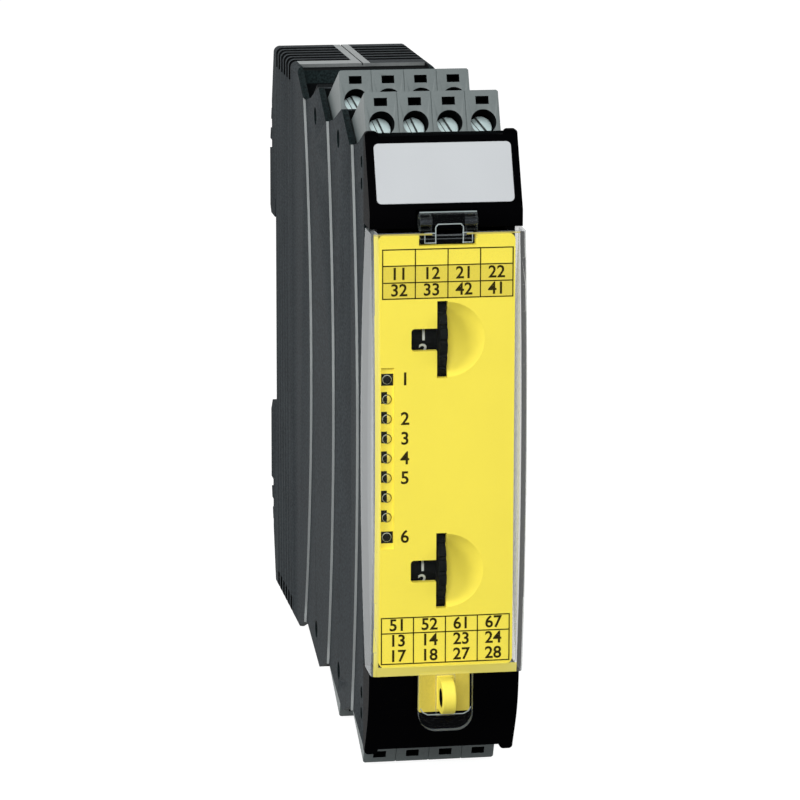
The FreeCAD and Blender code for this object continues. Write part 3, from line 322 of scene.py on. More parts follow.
@dataclass(frozen=True)
class EnamelledWire(Coating):
    """Lacquered copper wire wound in close turns."""

    turns_per_metre: float = 2500.0

    def lay(self, shader: Shader) -> None:
        """Lays the turns of the wire."""
        shader.set(Metallic=0.8, Roughness=0.3)
        turns = shader.add("ShaderNodeTexWave", bands_direction="Z", Scale=self.turns_per_metre / 6.3,
                           Distortion=0.4)
        shader.join(shader.coords, "Object", turns, "Vector")
        shader.tint(turns, self.colour, 0.45, 1.0, 0.1, 0.7)
        shader.bump(turns, 0.08, 0.8)


def srgb(red: int, green: int, blue: int) -> Colour:
    """The linear colour of a display colour given in 0 to 255."""
    return tuple((c / 255 / 12.92) if c <= 10 else ((c / 255 + 0.055) / 1.055) ** 2.4
                 for c in (red, green, blue))


class Finish(Enum):
    """Every finish on the relay, one for each kind of surface."""

    HOUSING = MouldedPlastic("housing_plastic", srgb(46, 51, 54), 0.6, 0.34, 0.03, 0.24,
                             0.3, 1.12, 0.85, 2.5)
    # Painted highlight on the side steps' front faces and on the deck's strip and rib.
    STEP = MouldedPlastic("step_edge_plastic", srgb(162, 167, 167), 0.5, 0.3, 0.01, 0.03, 0.2)
    # Painted light on the lip's front face, lighter than the housing's plastic.
    LIT_LIP = MouldedPlastic("deck_lip_plastic", srgb(104, 108, 108), 0.5, 0.3, 0.01, 0.05, 0.15)
    # Painted shade: near-black on recess walls, vents, the plugs' hollows and the eyelet's eye.
    DEEP_SHADE = MouldedPlastic("deep_shade_plastic", srgb(12, 14, 15), 0.6, 0.3, 0.02, 0.2, 0.2, 1.05)
    LATCH = MouldedPlastic("latch_plastic", srgb(52, 56, 58), 0.55, 0.3, 0.02, 0.15, 0.3, 1.15)
    BLANK = MouldedPlastic("blanking_plastic", srgb(24, 27, 28), 0.55, 0.3, 0.02, 0.15, 0.3, 1.1)
    PLUG = MouldedPlastic("plug_plastic", srgb(98, 107, 107), 0.42, 0.35, 0.012, 0.03, 0.5, 1.42)
    HEADER = MouldedPlastic("header_plastic", srgb(30, 32, 34), 0.5, 0.25, 0.012, 0.06, 0.15)
    WHEEL = MouldedPlastic("wheel_plastic", srgb(13, 15, 15), 0.5, 0.2, 0.01, 0.06, 0.3, 1.15)
    SWITCH = MouldedPlastic("switch_plastic", srgb(9, 10, 10), 0.6, 0.2, 0.01, 0.06, 0.2, 1.1)
    FACEPLATE = MouldedPlastic("faceplate_plastic", srgb(253, 235, 88), 0.5, 0.2, 0.004, 0.01, 0.15)
    TABLE_SHADE = MouldedPlastic("table_print", srgb(230, 212, 80), 0.5, 0.2, 0.002, 0.02, 0.15)
    EYELET = MouldedPlastic("eyelet_plastic", srgb(253, 236, 96), 0.45, 0.2, 0.004, 0.015, 0.2)
    EYELET_BASE = MouldedPlastic("eyelet_base_plastic", srgb(214, 196, 82), 0.5, 0.2, 0.004, 0.03, 0.15)
    PRINT = MouldedPlastic("black_print", srgb(50, 43, 14), 0.6, 0.15, 0.001, 0.05, 0.2, 1.1)
    DIGIT = MouldedPlastic("white_print", srgb(214, 220, 218), 0.5, 0.15, 0.001, 0.02, 0.1)
    # Painted light and shade on the lenses: a shaded half, a lit half, a shadow rim and a highlight arc;
    # the shade also fills the windows behind them.
    LENS_SHADE = MouldedPlastic("lens_dark_half", srgb(20, 23, 18), 0.35, 0.2, 0.002, 0.05, 0.2)
    LENS_LIT = MouldedPlastic("lens_lit_half", srgb(230, 212, 96), 0.35, 0.2, 0.002, 0.02, 0.2)
    LENS_SHADOW_RIM = MouldedPlastic("lens_dark_rim", srgb(112, 102, 34), 0.4, 0.2, 0.002, 0.05, 0.2)
    LENS_HIGHLIGHT = MouldedPlastic("lens_light_rim", srgb(176, 182, 170), 0.3, 0.2, 0.002, 0.05, 0.3)
    RELAY = MouldedPlastic("relay_case", srgb(30, 34, 40), 0.35)
    TRANSFORMER = EnamelledWire("winding_wire", srgb(176, 104, 52))
    CAPACITOR = GlossPlastic("capacitor_sleeve", srgb(34, 38, 60), 0.25)
    CAP = GlossPlastic("cap_plastic", srgb(3, 3, 4), 0.3, 0.1, 0.0, 1.06)
    GUIDE = GlossPlastic("light_guide_plastic", srgb(205, 205, 190), 0.18, 0.5, 0.3)
    LED = GlossPlastic("light_dome", srgb(190, 200, 190), 0.15, 0.5, 0.4)
    CLEAR = ClearPlastic("cover_plastic", srgb(178, 186, 188))
    CLEAR_FAINT = ClearPlastic("cover_hinge_plastic", srgb(150, 160, 160), 0.004, 0.3, 0.3)
    # Painted reflection of the yellow plate in the cover's near and lower edges, and a tan one at its ends.
    CLEAR_PLATE_REFLECTION = ClearPlastic("cover_edge_plastic", srgb(252, 236, 100), 0.75, 0.85)
    CLEAR_END_REFLECTION = ClearPlastic("cover_end_plastic", srgb(196, 182, 92), 0.7, 0.85)
    # Painted shade along the cover's far edge.
    CLEAR_SHADED_EDGE = ClearPlastic("cover_far_edge_plastic", srgb(22, 26, 26), 0.88, 0.95)
    CLEAR_EDGE = ClearPlastic("cover_rim_plastic", srgb(176, 188, 188), 0.55, 0.8, 0.1)
    PIN_STEEL = PlatedMetal("hinge_pin_steel", srgb(40, 43, 46), 0.4)
    SPRING = PlatedMetal("spring_steel", srgb(150, 154, 158), 0.3)
    SCREW = PlatedMetal("zinc_plating", srgb(186, 206, 206), 0.35, metallic=0.3)
    # Painted shade on the lowered deck under the lip and on the panels' front edges.
    SHADED = MouldedPlastic("shaded_plastic", srgb(22, 30, 31), 0.6, 0.3, 0.03, 0.3, 0.3, 1.12, 0.8, 2.0)
    # Painted shade on the walls and ledges of the screws' slots.
    SLOT_SHADE = PlatedMetal("slot_edge_steel", srgb(44, 52, 54), 0.5, metallic=0.3)
    CAGE = PlatedMetal("nickel_plating", srgb(190, 188, 176), 0.34)
    PINS = PlatedMetal("tinned_copper", srgb(206, 200, 180), 0.3)
    LABEL = PrintedLabel("label_film", srgb(188, 192, 195))
    BOARD = BoardLacquer("board_lacquer", srgb(22, 74, 46), srgb(34, 104, 60))


@functools.cache
def made(finish: Finish) -> Material:
    """The material of a finish, made on first use."""
    return finish.value.material()


# ---------------------------------------------------------------- mesh work
@contextmanager
def edited(mesh: bpy.types.Mesh) -> Iterator[bmesh.types.BMesh]:
    """Opens a mesh for editing and writes it back at the end.

    Args:
        mesh: The mesh.

    Yields:
        The mesh's faces, edges and vertices.
    """
    work = bmesh.new()
    work.from_mesh(mesh)
    yield work
    work.to_mesh(mesh)
    work.free()


def clean_mesh(node: str, name: str) -> Piece:
    """Copies a CAD node's mesh into a new object with its loose triangles merged.

    Args:
        node: The CAD node.
        name: The new object's name.

    Returns:
        The new object, at the origin.
    """
    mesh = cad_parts[node].data.copy()
    mesh.materials.clear()
    with edited(mesh) as work:
        bmesh.ops.remove_doubles(work, verts=work.verts, dist=0.002 * MM)
        bmesh.ops.dissolve_limit(work, angle_limit=math.radians(0.6), verts=work.verts, edges=work.edges)
    return mesh_piece(name, mesh)


def evaluated(piece: Piece) -> bpy.types.Mesh:
    """A new mesh of what a piece looks like with its modifiers."""
    bpy.context.view_layer.update()
    graph = bpy.context.evaluated_depsgraph_get()
    return bpy.data.meshes.new_from_object(piece.evaluated_get(graph), depsgraph=graph)


def applied(piece: Piece) -> Piece:
    """Turns a piece's modifiers into its mesh and removes them."""
    mesh = evaluated(piece)
    piece.modifiers.clear()
    piece.data = mesh
    return piece


def softened(piece: Piece, width: float, segments: int = 2, angle: float = 28.0,
             split: bool = False) -> Piece:
    """Rounds a piece's sharp edges, as a mould does.

    Args:
        piece: The piece.
        width: Width of the rounding in millimetres.
        segments: Steps across the rounding.
        angle: Only edges sharper than this many degrees are rounded.
        split: Whether faces are split into convex ones first, so that the rounding
            can't close the holes in them.

    Returns:
        The piece.
    """
    if split:
        with edited(piece.data) as work:
            bmesh.ops.connect_verts_concave(work, faces=work.faces)
    bevel = piece.modifiers.new("edge_rounding", "BEVEL")
    bevel.width = width * MM
    bevel.segments = segments
    bevel.limit_method = "ANGLE"
    bevel.angle_limit = math.radians(angle)
    bevel.miter_outer = "MITER_ARC"
    bevel.use_clamp_overlap = True
    bevel.harden_normals = False
    return applied(piece)


def shaded(piece: Piece, angle: float = 32.0) -> Piece:
    """Shades a piece smooth, with creases where its faces meet at more than an angle."""
    piece.data.shade_smooth()
    piece.data.set_sharp_from_angle(angle=math.radians(angle))
    even = piece.modifiers.new("even_shading", "WEIGHTED_NORMAL")
    even.keep_sharp = True
    return applied(piece)


def scored(piece: Piece, axis: int, *levels: float) -> Piece:
    """Splits a piece's faces along planes across an axis, at levels in millimetres."""
    normal = Vector([1.0 if index == axis else 0.0 for index in range(3)])
    with edited(piece.data) as work:
        for level in levels:
            everything = work.verts[:] + work.edges[:] + work.faces[:]
            bmesh.ops.bisect_plane(work, geom=everything, plane_co=normal * level * MM, plane_no=normal)
    return piece


class Face:
    """A face of a mesh, measured in millimetres, for the rules that pick its coat."""

    def __init__(self, mesh: bpy.types.Mesh, polygon: bpy.types.MeshPolygon) -> None:
        """Measures the face.

        Args:
            mesh: The mesh.
            polygon: Its face.
        """
        corners = [mesh.vertices[vertex].co / MM for vertex in polygon.vertices]
        self.normal = polygon.normal
        self.low = Vector([min(corner[axis] for corner in corners) for axis in range(3)])
        self.high = Vector([max(corner[axis] for corner in corners) for axis in range(3)])
        self.middle = (self.low + self.high) / 2
        self.tall = self.high.z - self.low.z
        self.outer = max(-self.low.x, self.high.x)            # how far it reaches sideways
        self.inner = min(abs(self.low.x), abs(self.high.x))   # how near to the middle it comes
        self.rise = abs(self.middle.z - MIDDLE)               # from the housing's middle height

    def ahead(self, least: float) -> bool:
        """Whether it faces the front by more than a share."""
        return self.normal.y < -least

    def level(self) -> bool:
        """Whether it lies level, face up or face down."""
        return abs(self.normal.z) > 0.9


Coat = tuple[Finish, Callable[[Face], bool]]


def painted(piece: Piece, base: Finish, coats: Sequence[Coat]) -> Piece:
    """Gives some of a piece's faces finishes of their own.

    Args:
        piece: The piece.
        base: The finish of the rest.
        coats: Finishes with the rule that picks their faces. A later coat wins.

    Returns:
        The piece.
    """
    mesh = piece.data
    for finish in (base, *(finish for finish, _ in coats)):
        if mesh.materials.find(made(finish).name) < 0:
            mesh.materials.append(made(finish))
    for polygon in mesh.polygons:
        face = Face(mesh, polygon)
        for finish, rule in coats:
            if rule(face):
                polygon.material_index = mesh.materials.find(made(finish).name)
    return piece


def carved(piece: Piece, tool: Piece) -> Piece:
    """Takes a tool's shape out of a piece and deletes the tool."""
    cut = piece.modifiers.new("carving", "BOOLEAN")
    cut.object = tool
    cut.solver = "EXACT"
    cut.use_self = True
    applied(piece)
    bpy.data.objects.remove(tool)
    return piece


def mesh_piece(name: str, mesh: bpy.types.Mesh) -> Piece:
    """Puts a mesh into the scene as an object at the origin."""
    mesh.name = name
    piece = bpy.data.objects.new(name, mesh)
    bpy.context.scene.collection.objects.link(piece)
    return piece


def placed(piece: Piece, place: Matrix) -> Piece:
    """Applies a place to a piece's mesh, and turns its faces outwards again if it mirrors."""
    piece.data.transform(place)
    if place.determinant() < 0:
        piece.data.flip_normals()
    return piece


def dressed(piece: Piece, body: str, slot: str, finish: Finish,
            *nodes: str) -> Piece:
    """Gives a piece its material and its body, and hides what it stands for.

    Args:
        piece: The finished mesh object.
        body: The CAD body it rides on.
        slot: The material slot's name; not used.
        finish: The piece's finish.
        nodes: The CAD nodes that the piece replaces.

    Returns:
        The piece.
    """
    if not piece.data.materials:
        piece.data.materials.append(made(finish))
    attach(piece, body)
    if nodes:
        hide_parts(*nodes)
    LOG.info("%s rides on %s with %d faces", piece.name, body, len(piece.data.polygons))
    return piece


def plain_node(node: str, finish: Finish) -> None:
    """Gives a CAD node that keeps its own shape its finish."""
    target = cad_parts[node].data
    target.materials.clear()
    target.materials.append(made(finish))
    LOG.info("%s keeps its own shape with %s", node, finish.value.name)


def moulded(node: str, name: str, body: str, slot: str, finish: Finish, edge: float, segments: int = 2,
            turn: float = 32.0, split: bool = False) -> None:
    """Copies a CAD node's mesh, rounds and shades it and dresses it in the node's place.

    Args:
        node: The CAD node.
        name: The new piece's name.
        body: The CAD body it rides on.
        slot: The material slot's name.
        finish: The piece's finish.
        edge: Width of the rounding in millimetres.
        segments: Steps across the rounding.
        turn: Faces that meet at more than this many degrees keep a crease.
        split: Whether faces with holes are split before they are rounded.
    """
    piece = softened(clean_mesh(node, name), edge, segments, split=split)
    dressed(shaded(piece, turn), body, slot, finish, node)


def joined(name: str, pieces: Iterable[Piece]) -> Piece:
    """Joins pieces into one object and deletes them.

    Args:
        name: The new object's name.
        pieces: The objects to join, all at the origin.

    Returns:
        The joined object, with one material slot for each material it uses.
    """
    whole = bmesh.new()
    materials: list[Material] = []
    for piece in pieces:
        own = list(piece.data.materials)
        for material in own:
            if material not in materials:
                materials.append(material)
        start = len(whole.faces)
        whole.from_mesh(piece.data)
        whole.faces.ensure_lookup_table()
        for face in whole.faces[start:]:
            if own:
                face.material_index = materials.index(own[face.material_index])
        bpy.data.objects.remove(piece)
    mesh = bpy.data.meshes.new(name)
    whole.to_mesh(mesh)
    whole.free()
    for material in materials:
        mesh.materials.append(material)
    return mesh_piece(name, mesh)


def lettering(text: str, height: float, finish: Finish, thick: float = 0.02,
              weight: float = 0.0) -> Piece:
    """Makes plain figures as a thin mesh, centred on the origin in X and Y.

    Args:
        text: The figures.
        height: Height of a figure in millimetres.
        finish: The print's finish.
        thick: Thickness of the print in millimetres.
        weight: Extra boldness in millimetres.

    Returns:
        The mesh object, facing +Z.
    """
    curve = bpy.data.curves.new("figures", "FONT")
    curve.body = text
    curve.align_x = "CENTER"
    curve.align_y = "CENTER"
    curve.size = height / 0.70 * MM
    curve.extrude = thick / 2 * MM
    curve.offset = weight * MM
    curve.resolution_u = 3
    return mesh_of(curve, finish)


def bar_mesh(low: Point, high: Point, name: str = "bar") -> Piece:
    """Makes a plain bar between two corners given in millimetres, for joining to others."""
    middle = Vector([(a + b) / 2 * MM for a, b in zip(low, high)])
    size = Vector([(b - a) * MM for a, b in zip(low, high)])
    mesh = bpy.data.meshes.new(name)
    with edited(mesh) as work:
        bmesh.ops.create_cube(work, size=1.0,
                              matrix=Matrix.Translation(middle) @ Matrix.Diagonal((*size, 1.0)))
    return mesh_piece(name, mesh)


def bead(points: Sequence[Point], radius: float, finish: Finish) -> Piece:
    """Makes a thin round bead along points in millimetres, for edges and wires."""
    curve = bpy.data.curves.new("bead", "CURVE")
    curve.dimensions = "3D"
    curve.bevel_depth = radius * MM
    curve.bevel_resolution = 2
    curve.use_fill_caps = True
    line = curve.splines.new("POLY")
    line.points.add(len(points) - 1)
    for spot, point in zip(line.points, points):
        spot.co = (point[0] * MM, point[1] * MM, point[2] * MM, 1.0)
    return mesh_of(curve, finish)


def mesh_of(curve: bpy.types.Curve, finish: Finish) -> Piece:
    """Turns a curve or figures into a mesh object and deletes the curve."""
    holder = bpy.data.objects.new(curve.name, curve)
    bpy.context.scene.collection.objects.link(holder)
    mesh = evaluated(holder)
    bpy.data.objects.remove(holder)
    bpy.data.curves.remove(curve)
    mesh.materials.clear()
    mesh.materials.append(made(finish))
    return mesh_piece("shape", mesh)


# ---------------------------------------------------------------- node trees for repeated parts
class Recipe:
    """A Geometry Nodes tree with named inputs, ended by Realize Instances and Set Material."""

    def __init__(self, name: str, **sizes: float) -> None:
        """Starts a tree.

        Args:
            name: The tree's name.
            sizes: Its named inputs and their usual values, in metres, radians or counts.
        """
        self.tree = bpy.data.node_groups.new(name, "GeometryNodeTree")
        self.sockets: dict[str, str] = {}
        for title, value in sizes.items():
            kind = "NodeSocketInt" if isinstance(value, int) else "NodeSocketFloat"
            socket = self.tree.interface.new_socket(title, in_out="INPUT", socket_type=kind)
            socket.default_value = value
            self.sockets[title] = socket.identifier
        self.tree.interface.new_socket("Geometry", in_out="OUTPUT", socket_type="NodeSocketGeometry")
        self.inputs = self.tree.nodes.new("NodeGroupInput")
        self.output = self.tree.nodes.new("NodeGroupOutput")

    def __getitem__(self, title: str) -> "Socket":
        """One of the tree's named inputs."""
        return Socket(self, self.inputs, title)

    def add(self, kind: str, **links: object) -> "Socket":
        """Adds a node, links its inputs and sets its values.

        Args:
            kind: The node's type name.
            links: Properties, constants for inputs or sockets to link, by the name with
                underscores, or by in0, in1 and so on.

        Returns:
            The new node's first output.
        """
        node = self.tree.nodes.new(kind)
        for key, value in links.items():
            if hasattr(node, key) and not isinstance(value, Socket):
                setattr(node, key, value)
                continue
            title = key.replace("_", " ")
            index = int(title[2:]) if title.startswith("in") and title[2:].isdigit() else title
            if isinstance(value, Socket):
                self.tree.links.new(value.link, node.inputs[index])
            else:
                node.inputs[index].default_value = value
        return Socket(self, node)

    def vector(self, x: object = 0.0, y: object = 0.0, z: object = 0.0) -> "Socket":
        """Adds a Combine XYZ node and gives its vector."""
        return self.add("ShaderNodeCombineXYZ", X=x, Y=y, Z=z)

    def lifted(self, shape: "Socket", height: object) -> "Socket":
        """Moves a geometry along Z."""
        return self.add("GeometryNodeTransform", Geometry=shape, Translation=self.vector(z=height))

    def union(self, *shapes: "Socket") -> "Socket":
        """Adds a Join Geometry node over some shapes."""
        node = self.tree.nodes.new("GeometryNodeJoinGeometry")
        for shape in shapes:
            self.tree.links.new(shape.link, node.inputs[0])
        return Socket(self, node)

    def cut(self, shape: "Socket", tool: "Socket") -> "Socket":
        """Adds a Mesh Boolean node that takes the tool out of the shape."""
        return self.add("GeometryNodeMeshBoolean", operation="DIFFERENCE", solver="EXACT", in0=shape,
                        in1=tool)

    def rod(self, radius: object, length: object, sides: int = 32) -> "Socket":
        """Adds a cylinder along Z, centred on the origin."""
        return self.add("GeometryNodeMeshCylinder", Vertices=sides, Radius=radius, Depth=length)

    def finish(self, shape: "Socket", finish: Finish) -> None:
        """Ends the tree with Realize Instances and Set Material."""
        real = self.add("GeometryNodeRealizeInstances", Geometry=shape)
        coat = self.add("GeometryNodeSetMaterial", Geometry=real, Material=made(finish))
        self.tree.links.new(coat.link, self.output.inputs[0])

    def make(self, name: str, place: Matrix | None = None, **sizes: float) -> Piece:
        """Evaluates the tree once and keeps the result as a plain mesh object.

        Args:
            name: The new object's name.
            place: Where its mesh goes, or nowhere else.
            sizes: Values for the named inputs.

        Returns:
            The new object, at the origin.
        """
        holder = mesh_piece(name, bpy.data.meshes.new(name))
        modifier = holder.modifiers.new("recipe", "NODES")
        modifier.node_group = self.tree
        for title, value in sizes.items():
            modifier[self.sockets[title]] = value
        applied(holder)
        return placed(holder, place) if place else holder


@dataclass(frozen=True)
class Socket:
    """One output of a node in a recipe's tree. Sums and products of sockets add Math nodes."""

    recipe: Recipe
    node: Node
    out: str | int = 0

    @property
    def link(self) -> bpy.types.NodeSocket:
        """The Blender socket that this stands for."""
        return self.node.outputs[self.out]

    def part(self, out: str) -> "Socket":
        """Another output of the same node."""
        return Socket(self.recipe, self.node, out)

    def _with(self, operation: str, *values: object) -> "Socket":
        """Adds a Math node over two values."""
        return self.recipe.add("ShaderNodeMath", operation=operation, in0=values[0], in1=values[1])

    def __add__(self, other: object) -> "Socket":
        """The sum."""
        return self._with("ADD", self, other)

    def __sub__(self, other: object) -> "Socket":
        """The difference."""
        return self._with("SUBTRACT", self, other)

    def __rsub__(self, other: object) -> "Socket":
        """The difference from a constant."""
        return self._with("SUBTRACT", other, self)

    def __mul__(self, other: object) -> "Socket":
        """The product."""
        return self._with("MULTIPLY", self, other)

    def __truediv__(self, other: object) -> "Socket":
        """The quotient."""
        return self._with("DIVIDE", self, other)

    def __gt__(self, other: object) -> "Socket":
        """1 where this is greater, else 0."""
        return self._with("GREATER_THAN", self, other)


# ---------------------------------------------------------------- housing and foot
@dataclass
class Housing:
    """The two dark half shells with their stepped sides, and the latch foot below them."""

    edge: float = 0.08
    panel: float = 10.7            # the side panels' steps lie outside this
    steps: Sequence[float] = (-41.5, -66.2, -90.9)
    vents_front: float = -18.0
    deck_half: float = 10.2        # the decks lie between the panels
    rib_half: float = 1.3          # the rib between the two rows of vents
    deck_tops: Sequence[float] = (43.5, -49.5)
    deck_end: float = -22.9        # the vented deck ends here
    lip_back: float = -19.0
    deck_drop: float = 0.55
    shade_depth: float = 4.7       # the lower deck is in the lip's shade for this length
    step_inner: float = 10.87
    step_half: float = 42.4        # the painted highlight lines on the steps reach this far above and below the middle
    step_bow: float = 7.5          # and fall back by less than this at their ends
    deck_front: float = -33.4      # the lowered deck starts here
    deck_far: float = 46.2         # level faces beyond this height are decks
    shade_front: float = -48.0     # painted shade lies on the faces between this depth and the deck's end
    shade_far: float = 34.0        # and beyond this height
    floor_far: float = 44.0
    vent_far: float = 41.0
    slit_y: float = -20.8
    slit: Point = (0.3, 0.28, 2.2)
    slit_down: float = 1.2         # from the deck to the slit's end
    body: str = "relay_body"

    def build(self) -> None:
        """Builds and dresses the shells, the blanking covers, the foot and its spring."""
        for hand in ("left", "right"):
            shell = self._lowered_deck(clean_mesh(f"housing_{hand}", f"housing_shell_{hand}"))
            scored(shell, 1, self.lip_back, self.deck_end - self.shade_depth)
            scored(shell, 0, *(side * x for side in (-1, 1)
                               for x in (self.rib_half, self.deck_half, self.step_inner)))
            painted(shell, Finish.HOUSING, self._coats())
            shaded(softened(shell, self.edge, 1, 35.0, split=hand == "right"), 30.0)
            dressed(shell, self.body, "housing", Finish.HOUSING, f"housing_{hand}")
        for end in ("top", "bottom"):
            moulded(f"blanking_cover_{end}", f"blanking_panel_{end}", self.body, "blank", Finish.BLANK, 0.1,
                    split=True)
        moulded("rail_foot", "latch_foot", "rail_foot", "latch", Finish.LATCH, 0.15)
        plain_node("foot_spring", Finish.SPRING)

    def _lowered_deck(self, shell: Piece) -> Piece:
        """Lowers the deck in front of the vents, and cuts the short slit in each side."""
        knives = []
        for top in self.deck_tops:
            side = 1.0 if top > 0 else -1.0
            ends = sorted((top + side, top - side * self.deck_drop))
            knives.append(bar_mesh((-self.deck_half, self.deck_front, ends[0]),
                                   (self.deck_half, self.deck_end, ends[1])))
            slot = sorted((top - side * self.slit_down, top - side * (self.slit_down + self.slit[2])))
            for x in (-SIDE, SIDE):
                knives.append(bar_mesh((x - self.slit[0], self.slit_y - self.slit[1] / 2, slot[0]),
                                       (x + self.slit[0], self.slit_y + self.slit[1] / 2, slot[1])))
        return carved(shell, joined("knives", knives))

    def _coats(self) -> list[Coat]:
        """The rules that pick the shells' faces with painted highlights and painted shade."""
        across, back = self.deck_half + NEAR, self.deck_end + NEAR

        # Painted shade on the lowered deck under the lip.
        def sunk_deck(face: Face) -> bool:
            return (face.outer < across and face.rise > self.shade_far
                    and self.shade_front < face.low.y and face.high.y < back)

        # Painted shade on the recess walls, the deck floor under the lip and the recess cheeks.
        def in_recess(face: Face) -> bool:
            wall = face.ahead(0.85) and face.outer < across and face.tall > 2.5
            floor = (face.level() and face.outer < across and face.high.y < back
                     and face.low.y > self.deck_end - self.shade_depth - NEAR
                     and abs(face.high.z - MIDDLE) > self.floor_far)
            cheek = abs(face.normal.x) > 0.9 and abs(abs(face.low.x) - self.deck_half) < 0.15
            return wall or floor or cheek

        # Painted shade on the side panels' front edges.
        def panel_edge(face: Face) -> bool:
            return (face.inner > self.deck_half - NEAR and abs(face.normal.x) < 0.5
                    and face.ahead(0.05) and face.high.y < back)

        # Painted shade on the vents' walls.
        def in_vent(face: Face) -> bool:
            return (abs(face.normal.y) > 0.85 and face.low.y > self.vents_front
                    and face.rise > self.vent_far and face.tall < 4.0)

        # Painted highlight on the steps' front faces.
        def step(face: Face) -> bool:
            return (face.ahead(0.6) and face.inner > self.panel and face.tall > 0.6
                    and face.rise < self.step_half
                    and any(depth - 0.3 < face.low.y < depth + self.step_bow for depth in self.steps))

        # Painted highlight on the strip in front of the vents and on the rib.
        def outer_deck(face: Face) -> bool:
            strip = face.high.y < self.lip_back + NEAR or face.outer < self.rib_half + NEAR
            return (face.level() and abs(face.low.z - MIDDLE) > self.deck_far
                    and face.low.y > self.deck_end - NEAR and face.outer < across and strip)

        # Painted light on the lip's front face.
        def lip(face: Face) -> bool:
            return face.ahead(0.85) and abs(face.high.y - self.deck_end) < NEAR and face.tall < 1.0

        return [(Finish.SHADED, sunk_deck), (Finish.DEEP_SHADE, in_recess), (Finish.SHADED, panel_edge),
                (Finish.DEEP_SHADE, in_vent), (Finish.STEP, step), (Finish.STEP, outer_deck),
                (Finish.LIT_LIP, lip)]


# ---------------------------------------------------------------- terminals
@dataclass
class ScrewHead:
    """A slotted cheese-head clamp screw, made upright with the top of its head at height 0."""

    radius: float = 1.75
    height: float = 1.6
    shank: float = 1.25
    length: float = 4.4
    slot: float = 0.7
    slot_depth: float = 0.5
    lip: float = 0.14              # width of the shallow ledge along each side of the slot
    lip_depth: float = 0.07
    thread_pitch: float = 0.7
    ridge: float = 0.16            # radius of the thread's ridge
    core: float = 0.86             # the shank's core, as a share of its radius
    rim: float = 0.1

    def recipe(self) -> Recipe:
        """Builds the node tree for one screw.

        Returns:
            The tree, with an input for the slot's angle in radians.
        """
        tree = Recipe("slotted_screw", Radius=self.radius * MM, Height=self.height * MM,
                      Shank=self.shank * MM, Length=self.length * MM, Slot=self.slot * MM,
                      Slot_Depth=self.slot_depth * MM, Slot_Angle=0.0, Rim=self.rim * MM,
                      Pitch=self.thread_pitch * MM, Lip=self.lip * MM, Lip_Depth=self.lip_depth * MM)
        blank = tree.add("GeometryNodeMeshCylinder", Vertices=40, Side_Segments=16,
                         Radius=tree["Radius"], Depth=tree["Height"])
        head = self._chamfered(tree, tree.lifted(blank, tree["Height"] * -0.5))
        for width, depth in ((tree["Slot"] + tree["Lip"] * 2.0, tree["Lip_Depth"]),
                             (tree["Slot"], tree["Slot_Depth"])):
            knife = tree.add("GeometryNodeMeshCube", Size=tree.vector(width, tree["Radius"] * 3.0,
                                                                      depth * 2.0))
            head = tree.cut(head, tree.add("GeometryNodeTransform", Geometry=knife,
                                           Rotation=tree.vector(z=tree["Slot_Angle"])))
        core = tree.rod(tree["Shank"] * self.core, tree["Length"], 24)
        middle = tree["Height"] + tree["Length"] * 0.5
        tree.finish(tree.union(head, tree.lifted(core, middle * -1.0), self._thread(tree)), Finish.SCREW)
        return tree

    def _chamfered(self, tree: Recipe, shape: Socket) -> Socket:
        """Chamfers the head's upper rim by pulling its top row inwards."""
        parts = tree.add("ShaderNodeSeparateXYZ", Vector=tree.add("GeometryNodeInputPosition"))
        top = parts.part("Z") > tree["Height"] * -0.03
        shrink = 1.0 - top * (tree["Rim"] / tree["Radius"])
        spot = tree.vector(parts.part("X") * shrink, parts.part("Y") * shrink, parts.part("Z"))
        return tree.add("GeometryNodeSetPosition", Geometry=shape, Position=spot)

    def _thread(self, tree: Recipe) -> Socket:
        """Winds a thin ridge round the shank."""
        start = tree["Shank"] * self.core
        coil = tree.add("GeometryNodeCurveSpiral", Resolution=20, Rotations=tree["Length"] / tree["Pitch"],
                        Start_Radius=start, End_Radius=start, Height=tree["Length"] * 0.94)
        ridge = tree.add("GeometryNodeCurvePrimitiveCircle", Resolution=4, Radius=self.ridge * MM)
        wire = tree.add("GeometryNodeCurveToMesh", Curve=coil, Profile_Curve=ridge, Fill_Caps=True)
        return tree.lifted(wire, (tree["Height"] + tree["Length"]) * -1.0)


